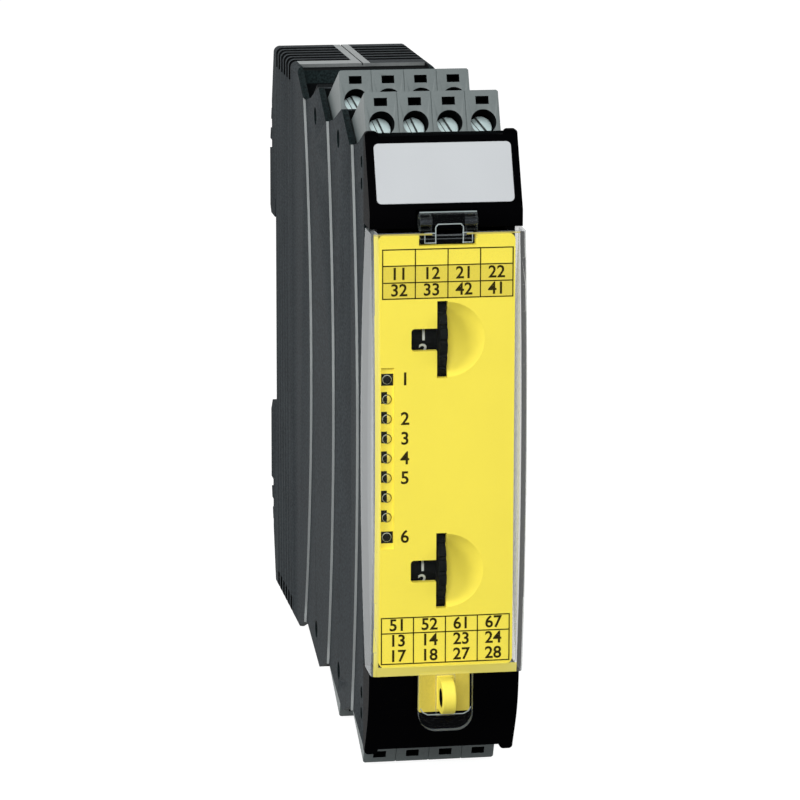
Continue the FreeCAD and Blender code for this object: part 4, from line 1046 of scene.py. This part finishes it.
@dataclass
class TerminalTier:
    """One plug with its four screws, its clamp cages and the header that it mates with."""

    name: str
    side: int                      # 1 above, -1 below
    slot_turns: Sequence[float] = (0.0, 0.0, 0.0, 0.0)
    recess: float = 3.0
    screw_down: float = 4.85
    depth: float = 13.6            # of the plug, back from its screw face
    height: float = 13.4
    skin_front: float = 0.14       # faces deeper in the plug than these are its hollows
    skin_top: float = 0.45
    skin_side: float = 0.4
    edge: float = 0.06

    def place(self) -> Matrix:
        """The plug's own frame: X width, +Y back from the screw face, +Z the way it pulls off."""
        lean = Matrix.Diagonal((1.0, 1.0, float(self.side), 1.0)) @ Matrix.Rotation(-TILT, 4, "X")
        back = lean.inverted()
        corners = [back @ vertex.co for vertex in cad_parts[f"plug_{self.name}"].data.vertices]
        origin = Vector((0.0, min(c.y for c in corners), max(c.z for c in corners)))
        return lean @ Matrix.Translation(origin)

    def build(self, screw: Recipe) -> None:
        """Builds and dresses the plug and its screws, and finishes its metal parts."""
        plug = clean_mesh(f"plug_{self.name}", f"terminal_plug_{self.name}")
        back = self.place().inverted()
        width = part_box(f"plug_{self.name}")[1].x / MM

        def inside(face: Face) -> bool:
            middle = back @ (face.middle * MM) / MM
            return (self.skin_front < middle.y < self.depth - NEAR
                    and -self.height + NEAR < middle.z < -self.skin_top
                    and abs(middle.x) < width - self.skin_side)

        # The plug's hollows get painted shade.
        painted(plug, Finish.PLUG, [(Finish.DEEP_SHADE, inside)])
        shaded(softened(plug, self.edge, 2, split=True), 30.0)
        body = f"plug_{self.name}"
        dressed(plug, body, "plug", Finish.PLUG, body)
        plain_node(f"clamp_cages_{self.name}", Finish.CAGE)
        plain_node(f"header_{self.name}", Finish.HEADER)
        plain_node(f"header_pins_{self.name}", Finish.PINS)
        for number, turn in enumerate(self.slot_turns, 1):
            self._screw(number, turn, screw)

    def _screw(self, number: int, turn: float, screw: Recipe) -> None:
        """Makes one screw, turned in its hole, in place of its CAD node."""
        node = f"screw_{self.name}_{number}"
        low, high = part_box(node)
        place = (self.place() @ Matrix.Translation(((low.x + high.x) / 2, self.recess * MM,
                                                    -self.screw_down * MM))
                 @ Matrix.Rotation(math.pi / 2, 4, "X"))
        piece = screw.make(f"clamp_screw_{self.name}_{number}", place, Slot_Angle=math.radians(turn))
        back = place.inverted()

        def slot_side(face: Face) -> bool:
            middle = back @ (face.middle * MM) / MM
            return -0.42 < middle.z < -0.02 and math.hypot(middle.x, middle.y) < 1.5

        # The slot's walls and ledges get painted shade.
        painted(piece, Finish.SCREW, [(Finish.SLOT_SHADE, slot_side)])
        shaded(piece, 35.0)
        dressed(piece, node, "screw", Finish.SCREW, node)


# ---------------------------------------------------------------- front
@dataclass
class FrontFrame:
    """The glossy black caps above and below the window, with the blank writing label."""

    edge: float = 0.3
    body: str = "relay_body"

    def build(self) -> None:
        """Builds and dresses the caps and the label."""
        moulded("front_frame", "front_caps", self.body, "frame", Finish.CAP, self.edge, 3, 30.0)
        moulded("label_plate", "writing_label", self.body, "label", Finish.LABEL, 0.08)


@dataclass
class NumberTable:
    """A printed table of plain numbers: its place, its column width and its rows."""

    left: float
    top: float
    column: float
    rows: Sequence[float]              # heights of the rows, from the top
    cells: Sequence[Sequence[str]]
    ruled: Sequence[int] = (0, 1, 3)   # which row lines are drawn
    line: float = 0.17
    shaded_rows: Sequence[int] = ()


@dataclass
class Faceplate:
    """The yellow plate with its printed tables and numbers, light guides and seal eyelet."""

    print_thick: float = 0.02
    figure: float = 1.75
    lamp_figure: float = 1.85
    slot_floor: float = 0.4            # depth of the strip that the light guides stand in
    eye_back: float = 2.1              # the eye's middle behind the eyelet's nose
    eye_height: float = -39.2
    guide_radius: float = 0.7
    dome: float = 0.22
    bar_thick: float = 2.0             # the bar that carries the light guides
    bar_down: float = 4.8              # its middle from the guides' inner ends
    lamps: int = 9
    lamp_half: float = 0.4             # half a lamp's height
    numbered: Sequence[int] = (0, 2, 3, 4, 5, 8)   # the lamps with a number beside them
    number_right: float = 2.6
    window: Sequence[float] = (-0.87, 0.02, -0.62, 1.1)       # left, right, low, high
    end_window: Sequence[float] = (-0.87, 0.92, -0.9, 0.85)
    body: str = "relay_body"
    upper: NumberTable = field(default_factory=lambda: NumberTable(
        -9.4, 27.07, 4.74, (2.37, 2.45, 2.33),
        (("", "", "", ""), ("11", "12", "21", "22"), ("32", "33", "42", "41")),
        (0, 1, 2, 3), shaded_rows=(1, 2)))
    lower: NumberTable = field(default_factory=lambda: NumberTable(
        -9.5, -27.36, 4.73, (2.33, 2.36, 2.25),
        (("51", "52", "61", "67"), ("13", "14", "23", "24"), ("17", "18", "27", "28"))))

    def build(self) -> None:
        """Builds and dresses the plate, its print, the light guides and the eyelet."""
        plate = clean_mesh("faceplate", "yellow_faceplate")
        shaded(softened(plate, 0.12, 2, 35.0), 30.0)
        dressed(plate, self.body, "faceplate", Finish.FACEPLATE, "faceplate")
        prints = self._table(self.upper) + self._table(self.lower)
        prints += self._lamp_numbers() + self._lamp_windows()
        sheet = joined("faceplate_print", prints)
        dressed(sheet, self.body, "faceplate", Finish.PRINT)
        self._light_guides()
        eyelet = clean_mesh("seal_eyelet", "seal_eyelet_arch")
        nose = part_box("seal_eyelet")[0].y / MM
        eye = (nose + self.eye_back, self.eye_height)
        # The eyelet's wide faces are a darker yellow; its eye gets painted shade.
        painted(eyelet, Finish.EYELET, [
            (Finish.EYELET_BASE, lambda face: face.high.x - face.low.x > 3.5),
            (Finish.DEEP_SHADE, lambda face: abs(face.normal.x) < 0.3
             and math.hypot(face.middle.y - eye[0], face.middle.z - eye[1]) < 1.35)])
        shaded(softened(eyelet, 0.2, 3))
        dressed(eyelet, self.body, "faceplate", Finish.EYELET, "seal_eyelet")

    @property
    def face(self) -> float:
        """Depth of the plate's face in millimetres."""
        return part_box("faceplate")[0].y / MM

    def _ink(self, x: Sequence[float], z: Sequence[float], finish: Finish = Finish.PRINT,
             thick: float = 0.02, sunk: float = 0.0) -> Piece:
        """Makes a thin printed bar on the plate.

        Args:
            x: Its two sides in millimetres.
            z: Its lower and upper end.
            finish: The print's finish.
            thick: The print's thickness.
            sunk: How far it lies behind the plate's face.

        Returns:
            The bar.
        """
        front = self.face + sunk
        bar = bar_mesh((x[0], front - thick, z[0]), (x[1], front + 0.01, z[1]))
        bar.data.materials.append(made(finish))
        return bar

    def _figures(self, text: str, x: float, z: float, height: float) -> Piece:
        """Printed figures, centred on a point of the plate's face."""
        figures = lettering(text, height, Finish.PRINT, self.print_thick, 0.045)
        place = Matrix.Translation((x * MM, (self.face - self.print_thick / 2) * MM, z * MM))
        return placed(figures, place @ Matrix.Rotation(math.pi / 2, 4, "X"))

    def _table(self, table: NumberTable) -> list[Piece]:
        """Builds one table's lines, shaded rows and numbers.

        Args:
            table: The table.

        Returns:
            The table's pieces.
        """
        columns = len(table.cells[0])
        right = table.left + columns * table.column
        bottom = table.top - sum(table.rows)
        half = table.line / 2
        pieces = []
        for index in range(columns + 1):
            x = table.left + index * table.column
            pieces.append(self._ink((x - half, x + half), (bottom - half, table.top + half)))
        level = table.top
        for index in range(len(table.rows) + 1):
            if index in table.ruled:
                pieces.append(self._ink((table.left, right), (level - half, level + half)))
            if index < len(table.rows):
                row = table.rows[index]
                if index in table.shaded_rows:
                    pieces.append(self._ink((table.left, right), (level - row, level), Finish.TABLE_SHADE,
                                            self.print_thick / 2))
                pieces += [self._figures(text, table.left + (column + 0.5) * table.column,
                                         level - row / 2, self.figure)
                           for column, text in enumerate(table.cells[index]) if text]
                level -= row
        return pieces

    def _lamps(self) -> tuple[float, float, float]:
        """Middle of the lamps across, height of the first, and their pitch."""
        low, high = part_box("status_leds")
        pitch = (high.z - low.z - 2 * self.lamp_half * MM) / (self.lamps - 1) / MM
        return (low.x + high.x) / 2 / MM, high.z / MM - self.lamp_half, pitch

    def _lamp_numbers(self) -> list[Piece]:
        """Numbers the lamps that have one, to their right."""
        x, first, pitch = self._lamps()
        return [self._figures(str(number), x + self.number_right, first - pitch * index, self.lamp_figure)
                for number, index in enumerate(self.numbered, 1)]

    def _lamp_windows(self) -> list[Piece]:
        """The dark windows of painted shade behind the light guides, wider at the first and the last."""
        x, first, pitch = self._lamps()
        windows = []
        for index in range(self.lamps):
            z = first - pitch * index
            left, right, low, high = self.end_window if index in (0, self.lamps - 1) else self.window
            windows.append(self._ink((x + left, x + right), (z + low, z + high), Finish.LENS_SHADE,
                                     sunk=self.slot_floor))
        return windows

    def _light_guides(self) -> None:
        """Makes the nine domed rods on their bar in place of the plain ones."""
        low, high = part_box("light_guide")
        x, first, pitch = self._lamps()
        length = (high.y - low.y) - 0.2 * MM
        tree = Recipe("light_guides", Radius=self.guide_radius * MM, Length=length, Pitch=pitch * MM,
                      Count=self.lamps, Dome=self.dome * MM, Width=high.x - low.x, Height=high.z - low.z)
        straight = tree["Length"] - tree["Dome"]
        rod = tree.lifted(tree.rod(tree["Radius"], straight), straight * -0.5)
        ball = tree.add("GeometryNodeMeshUVSphere", Segments=32, Rings=12, Radius=tree["Radius"])
        dome = tree.add("GeometryNodeTransform", Geometry=ball,
                        Scale=tree.vector(0.995, 0.995, tree["Dome"] / tree["Radius"]))
        line = tree.add("GeometryNodeMeshLine", Count=tree["Count"],
                        Offset=tree.vector(y=tree["Pitch"] * -1.0))
        copies = tree.add("GeometryNodeInstanceOnPoints", Points=line, Instance=tree.union(rod, dome))
        bar = tree.add("GeometryNodeMeshCube", Size=tree.vector(tree["Width"], tree["Height"],
                                                                self.bar_thick * MM))
        place = tree.vector(0.05 * MM, tree["Pitch"] * -0.5 * float(self.lamps - 1),
                            tree["Length"] * -1.0 + self.bar_down * MM)
        carrier = tree.add("GeometryNodeTransform", Geometry=bar, Translation=place)
        tree.finish(tree.union(copies, carrier), Finish.GUIDE)
        top = low.y - 0.03 * MM
        place = Matrix.Translation((x * MM, top, first * MM)) @ Matrix.Rotation(math.pi / 2, 4, "X")
        guides = tree.make("light_guides", place)
        # Each lens gets painted light and shade: a lit half, a shaded half, a shadow on the rim and a
        # highlight arc.
        painted(guides, Finish.GUIDE, self._lens_coats(top / MM))
        shaded(guides, 35.0)
        dressed(guides, self.body, "guide", Finish.GUIDE, "light_guide")

    def _lens_coats(self, base: float) -> list[Coat]:
        """The rules that paint each lens with the light and shade that shows through it.

        Args:
            base: Depth where the domes start, in millimetres.

        Returns:
            Coats for the painted lit half, the painted shaded half, and the two halves of the rim: painted
            shadow on one, painted highlight on the other.
        """
        x, first, pitch = self._lamps()

        def spot(face: Face) -> tuple[float, bool, bool]:
            index = round((first - face.middle.z) / pitch)
            across, up = face.middle.x - x, face.middle.z - (first - pitch * index)
            return across, math.hypot(across, up) > 0.8 * self.guide_radius, index in (0, self.lamps - 1)

        def lit(face: Face) -> bool:
            return face.high.y < base + 0.01

        def dark(face: Face) -> bool:
            across, _, whole = spot(face)
            return lit(face) and (whole or across < 0.02)

        def rim(face: Face) -> bool:
            across, outside, whole = spot(face)
            return lit(face) and outside and not whole and across > 0.0

        def highlight_arc(face: Face) -> bool:
            across, outside, whole = spot(face)
            return lit(face) and outside and (whole or across <= 0.0)

        return [(Finish.LENS_LIT, lit), (Finish.LENS_SHADE, dark),
                (Finish.LENS_SHADOW_RIM, rim), (Finish.LENS_HIGHLIGHT, highlight_arc)]


@dataclass
class ClearCover:
    """The see-through hinged cover and its steel hinge pin."""

    edge: float = 0.12
    wall: float = 10.25            # the side walls lie outside this
    knuckle: float = 1.25
    skin: float = 0.22             # wall of the bridge between the hinge ears
    bridge_gap: float = 0.06
    tab_half: float = 4.15
    plate_low: float = -34.25
    plate_high: float = 29.35
    slot_half: float = 2.0
    root_low: float = 28.1
    tongue_rim: float = 2.45       # the tongue's rim lies this far above its end
    tongue_half: float = 3.75
    rib: float = 0.09

    def build(self) -> None:
        """Builds and dresses the cover, its moulded rims and its pin."""
        cover = clean_mesh("clear_cover", "cover_shell")
        scored(scored(cover, 0, -self.wall, self.wall), 2, self.plate_low, self.plate_high)
        depth, height = self._axis()

        def ahead(face: Face) -> bool:
            return face.ahead(0.75) and face.high.x < self.wall + 0.05

        def front_edge(face: Face) -> bool:
            return (face.ahead(0.75) and face.high.x < -self.wall + 0.05
                    and face.low.z > self.plate_low - 0.05)

        def ends(face: Face) -> bool:
            return ahead(face) and face.low.z > self.plate_high - 0.05 and face.outer > self.tab_half + NEAR

        def foot_edge(face: Face) -> bool:
            return (ahead(face) and face.low.z > self.plate_low - 1.6
                    and face.high.z < self.plate_low + 0.05)

        # Painted shade along the cover's far edge.
        def far_edge(face: Face) -> bool:
            return face.ahead(0.75) and face.low.x > self.wall - 0.05

        def hinge(face: Face) -> bool:
            reach = math.hypot(face.middle.y - depth, face.middle.z - height)
            return reach < self.knuckle + 0.3 and face.outer < self.tab_half + NEAR

        # The cover's near and lower edges get the plate's yellow, and its ends a tan, as painted
        # reflection.
        painted(cover, Finish.CLEAR, [
            (Finish.CLEAR_PLATE_REFLECTION, front_edge), (Finish.CLEAR_END_REFLECTION, ends), (Finish.CLEAR_PLATE_REFLECTION, foot_edge),
            (Finish.CLEAR_SHADED_EDGE, far_edge), (Finish.CLEAR_FAINT, hinge)])
        softened(cover, self.edge, 2, 35.0)
        whole = joined("hinged_cover", [cover, self._bridge()] + self._rims())
        shaded(whole, 30.0)
        dressed(whole, "clear_cover", "clear", Finish.CLEAR, "clear_cover")
        whole.visible_shadow = False        # a clear sheet dims hardly any light
        plain_node("cover_hinge_pin", Finish.PIN_STEEL)

    def _axis(self) -> tuple[float, float]:
        """Depth and height of the hinge pin's axis in millimetres."""
        low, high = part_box("cover_hinge_pin")
        return (low.y + high.y) / 2 / MM, (low.z + high.z) / 2 / MM

    def _bridge(self) -> Piece:
        """The curved skin that joins the two ears in front of the frame's knuckle."""
        depth, height = self._axis()
        work = bmesh.new()
        inner = self.knuckle + self.bridge_gap
        rows = []
        for step in range(9):
            turn = math.radians(-4.0 + 11.0 * step)
            ring = []
            for reach, x in ((inner, -1), (inner + self.skin, -1), (inner + self.skin, 1), (inner, 1)):
                ring.append(work.verts.new(Vector((x * self.tab_half, depth - reach * math.cos(turn),
                                                   height + reach * math.sin(turn))) * MM))
            rows.append(ring)
        for first, second in zip(rows, rows[1:]):
            for index in range(4):
                after = (index + 1) % 4
                work.faces.new((first[index], first[after], second[after], second[index]))
        work.faces.new(rows[0])
        work.faces.new(rows[-1][::-1])
        bmesh.ops.recalc_face_normals(work, faces=work.faces)
        mesh = bpy.data.meshes.new("bridge")
        work.to_mesh(mesh)
        work.free()
        mesh.materials.append(made(Finish.CLEAR_FAINT))
        return mesh_piece("bridge", mesh)

    def _rims(self) -> list[Piece]:
        """The moulded rims round the hinge slot, the ear roots and the tongue."""
        depth, height = self._axis()
        front = depth - self.knuckle - self.bridge_gap - self.skin
        slot, low, half = self.slot_half, self.root_low, self.tab_half
        back, top = depth - 0.3, height + self.knuckle + 0.2
        outline = [(slot, low), (slot, height - 0.5), (slot - 0.35, height - 0.1)]
        paths = [[(side * x, front, z)
                  for side, part in ((-1, outline), (1, outline[::-1])) for x, z in part],
                 [(-half, back, top), (half, back, top)]]
        for side in (-1, 1):
            paths.append([(side * x, front + 0.7, z) for x, z in
                          ((slot, 29.5), (slot + 1.45, 29.5), (slot + 1.45, low), (slot, low))])
        level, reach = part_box("clear_cover")[0].z / MM + self.tongue_rim, self.tongue_half
        curve = [(reach, 1.0), (reach - 0.35, 0.4), (reach - 1.1, 0.0)]
        paths.append([(side * x, depth - 0.2, level + lift)
                      for side, part in ((-1, curve), (1, curve[::-1])) for x, lift in part])
        return [bead(path, self.rib, Finish.CLEAR_EDGE) for path in paths]


# ---------------------------------------------------------------- switches
@dataclass
class Thumbwheel:
    """A ridged switch wheel with its digit drum, and the box that it turns in."""

    place_name: str
    first_digit: int
    wheel_radius: float = 6.9
    wheel_left: float = -1.25
    wheel_right: float = -0.1
    teeth: int = 20
    notch: float = 0.35
    drum_radius: float = 4.0
    drum_left: float = -5.6
    hub_radius: float = 1.4
    digit_height: float = 1.95
    digit_at: float = -3.2
    ahead: float = 8.0             # the shown digit stands this far above the middle, in degrees

    def recipe(self) -> Recipe:
        """Builds the node tree of a wheel that turns about Z.

        Returns:
            The tree, with inputs for the wheel's sizes.
        """
        low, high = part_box(f"thumbwheel_{self.place_name}")
        tree = Recipe("thumbwheel", Radius=self.wheel_radius * MM, Teeth=self.teeth,
                      Notch=self.notch * MM, Drum=self.drum_radius * MM, Hub=self.hub_radius * MM,
                      Left=self.wheel_left * MM, Right=self.wheel_right * MM,
                      Drum_Left=self.drum_left * MM, Hub_Left=low.x, Hub_Right=high.x)
        ring = tree.add("GeometryNodeMeshCircle", Vertices=tree["Teeth"], Radius=tree["Radius"])
        spread = tree.add("GeometryNodeInstanceOnPoints", Points=ring,
                          Instance=tree.rod(tree["Notch"], 4.0 * MM, 12))
        disc, drum, hub = (
            tree.lifted(tree.rod(tree[radius], tree[end] - tree[start], sides),
                        (tree[end] + tree[start]) * 0.5)
            for radius, start, end, sides in (("Radius", "Left", "Right", 120),
                                              ("Drum", "Drum_Left", "Left", 64),
                                              ("Hub", "Hub_Left", "Hub_Right", 32)))
        wheel = tree.cut(disc, tree.add("GeometryNodeRealizeInstances", Geometry=spread))
        tree.finish(tree.union(wheel, drum, hub), Finish.WHEEL)
        return tree

    def axis(self) -> Vector:
        """A point on the wheel's axis, in metres."""
        low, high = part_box(f"thumbwheel_{self.place_name}")
        return Vector((0.0, (low.y + high.y) / 2, (low.z + high.z) / 2))

    def build(self) -> None:
        """Builds and dresses the wheel, its digits and the switch's box."""
        node = f"thumbwheel_{self.place_name}"
        place = Matrix.Translation(self.axis()) @ Matrix.Rotation(math.pi / 2, 4, "Y")
        wheel = self.recipe().make(f"switch_wheel_{self.place_name}", place)
        softened(wheel, 0.06, 1, 50.0)
        digits = [self._digit(value) for value in range(10)]
        whole = joined(f"switch_wheel_{self.place_name}_with_digits", [wheel] + digits)
        shaded(whole, 30.0)
        dressed(whole, node, "wheel", Finish.WHEEL, node)
        plain_node(f"switch_body_{self.place_name}", Finish.SWITCH)

    def _digit(self, value: int) -> Piece:
        """Wraps one raised digit round the drum.

        Args:
            value: The digit.

        Returns:
            The digit's mesh object.
        """
        digit = lettering(str(value), self.digit_height, Finish.DIGIT, 0.05, 0.04)
        scored(digit, 1, *(0.16 * step for step in range(-8, 9)))
        centre = self.axis()
        start = 2 * math.pi * (self.first_digit - value) / 10 + math.radians(self.ahead)
        radius = (self.drum_radius + 0.01) * MM
        for vertex in digit.data.vertices:
            turn = start + vertex.co.y / radius
            reach = radius + vertex.co.z
            vertex.co = Vector((self.digit_at * MM + vertex.co.x, centre.y - reach * math.cos(turn),
                                centre.z + reach * math.sin(turn)))
        return digit


# ---------------------------------------------------------------- electronics
@dataclass
class Electronics:
    """The boards and what stands on them, seen only with the covers off."""

    plain: dict[str, Finish] = field(default_factory=lambda: {
        "front_board": Finish.BOARD, "main_board": Finish.BOARD, "board_link": Finish.HEADER,
        "relay_rear": Finish.RELAY, "relay_middle": Finish.RELAY, "transformer": Finish.TRANSFORMER,
        "capacitors": Finish.CAPACITOR, "status_leds": Finish.LED})

    def build(self) -> None:
        """Finishes the boards and their parts."""
        for node, finish in self.plain.items():
            plain_node(node, finish)


# ---------------------------------------------------------------- studio
@dataclass
class Studio:
    """A plain white room, soft lamps and the camera."""

    eye: Point = (-97.24, -663.34, 126.08)
    yaw: float = 9.182
    pitch: float = -12.053
    roll: float = 0.138
    lens: float = 181.0
    floor_gap: float = 0.4

    def build(self) -> None:
        """Builds the room, the lamps and the camera."""
        self._world()
        self._floor()
        for lamp in (("key_light", (-0.9, -0.5, 0.4), 0.5, 5.8),
                     ("front_light", (-0.2, -1.2, 0.75), 0.7, 10.4),
                     ("right_light", (0.9, -0.35, 0.35), 0.5, 2.0)):
            self._lamp(*lamp)
        self._camera()
        bpy.context.scene.view_settings.view_transform = "Standard"

    def _white_where_seen(self, tree: bpy.types.NodeTree) -> bpy.types.NodeSocket:
        """Adds nodes that give 1 to camera, glossy and transmission rays, and 0 to others."""
        path = tree.nodes.new("ShaderNodeLightPath")
        total = path.outputs["Is Camera Ray"]
        for title in ("Is Glossy Ray", "Is Transmission Ray"):
            both = tree.nodes.new("ShaderNodeMath")
            both.operation = "MAXIMUM"
            tree.links.new(total, both.inputs[0])
            tree.links.new(path.outputs[title], both.inputs[1])
            total = both.outputs[0]
        return total

    def _world(self) -> None:
        """A world that looks white and lights the object with an even half tone."""
        world = bpy.data.worlds.new("white_room")
        world.use_nodes = True
        tree = world.node_tree
        background = tree.nodes["Background"]
        background.inputs["Color"].default_value = (1.0, 1.0, 1.0, 1.0)
        level = tree.nodes.new("ShaderNodeMapRange")
        level.inputs["To Min"].default_value = 0.28
        level.inputs["To Max"].default_value = 1.0
        tree.links.new(self._white_where_seen(tree), level.inputs["Value"])
        tree.links.new(level.outputs["Result"], background.inputs["Strength"])
        bpy.context.scene.world = world

    def _floor(self) -> None:
        """A white floor that keeps a soft shadow of the object."""
        mesh = bpy.data.meshes.new("floor")
        level = CAD_BOX[0][2] - self.floor_gap * MM
        with edited(mesh) as work:
            bmesh.ops.create_grid(work, x_segments=1, y_segments=1, size=4.0,
                                  matrix=Matrix.Translation((0.0, 0.0, level)))
        floor = mesh_piece("floor", mesh)
        material = bpy.data.materials.new("white_floor")
        material.use_nodes = True
        tree = material.node_tree
        surface = tree.nodes["Principled BSDF"]
        for title, value in (("Base Color", (0.3, 0.3, 0.3, 1.0)), ("Roughness", 0.9),
                             ("Specular IOR Level", 0.0), ("Emission Color", (1.0, 1.0, 1.0, 1.0))):
            surface.inputs[title].default_value = value
        level = tree.nodes.new("ShaderNodeMath")
        level.operation = "MULTIPLY"
        level.inputs[1].default_value = 0.92
        tree.links.new(self._white_where_seen(tree), level.inputs[0])
        tree.links.new(level.outputs[0], surface.inputs["Emission Strength"])
        mesh.materials.append(material)

    def _lamp(self, name: str, place: Point, width: float, power: float) -> None:
        """A square soft lamp that looks at the object's middle.

        Args:
            name: The lamp's name.
            place: Where it hangs, in metres.
            width: Its side in metres.
            power: Its power in watts.
        """
        light = bpy.data.lights.new(name, "AREA")
        light.size = width
        light.energy = power
        lamp = bpy.data.objects.new(name, light)
        lamp.location = place
        aim = Vector((0.0, -0.05, 0.0)) - Vector(place)
        lamp.rotation_euler = aim.to_track_quat("-Z", "Y").to_euler()
        bpy.context.scene.collection.objects.link(lamp)

    def _camera(self) -> None:
        """The camera, looking at the front from a little above and to its left."""
        lens = bpy.data.cameras.new("camera")
        lens.lens = self.lens
        lens.sensor_width = 36.0
        camera = bpy.data.objects.new("camera", lens)
        turn = (Matrix.Rotation(math.radians(-self.yaw), 4, "Z")
                @ Matrix.Rotation(math.radians(90 + self.pitch), 4, "X")
                @ Matrix.Rotation(math.radians(self.roll), 4, "Z"))
        camera.matrix_world = Matrix.Translation(Vector(self.eye) * MM) @ turn
        bpy.context.scene.collection.objects.link(camera)
        bpy.context.scene.camera = camera


def main() -> None:
    """Builds the relay's pieces in order, then the room around it."""
    logging.basicConfig(level=logging.INFO, format="%(name)s: %(message)s")
    Housing().build()
    screw = ScrewHead().recipe()
    for name, side, turns in (("top_middle", 1, (26.0, 24.0, 32.0, 20.0)),
                              ("top_front", 1, (21.0, 22.0, 29.0, 37.0)),
                              ("bottom_middle", -1, (18.0, -30.0, 42.0, -12.0)),
                              ("bottom_front", -1, (-20.0, 38.0, -44.0, 28.0))):
        TerminalTier(name, side, turns).build(screw)
    FrontFrame().build()
    Faceplate().build()
    ClearCover().build()
    Thumbwheel("upper", 1).build()
    Thumbwheel("lower", 1).build()
    Electronics().build()
    Studio().build()


if __name__ == "__main__":
    main()
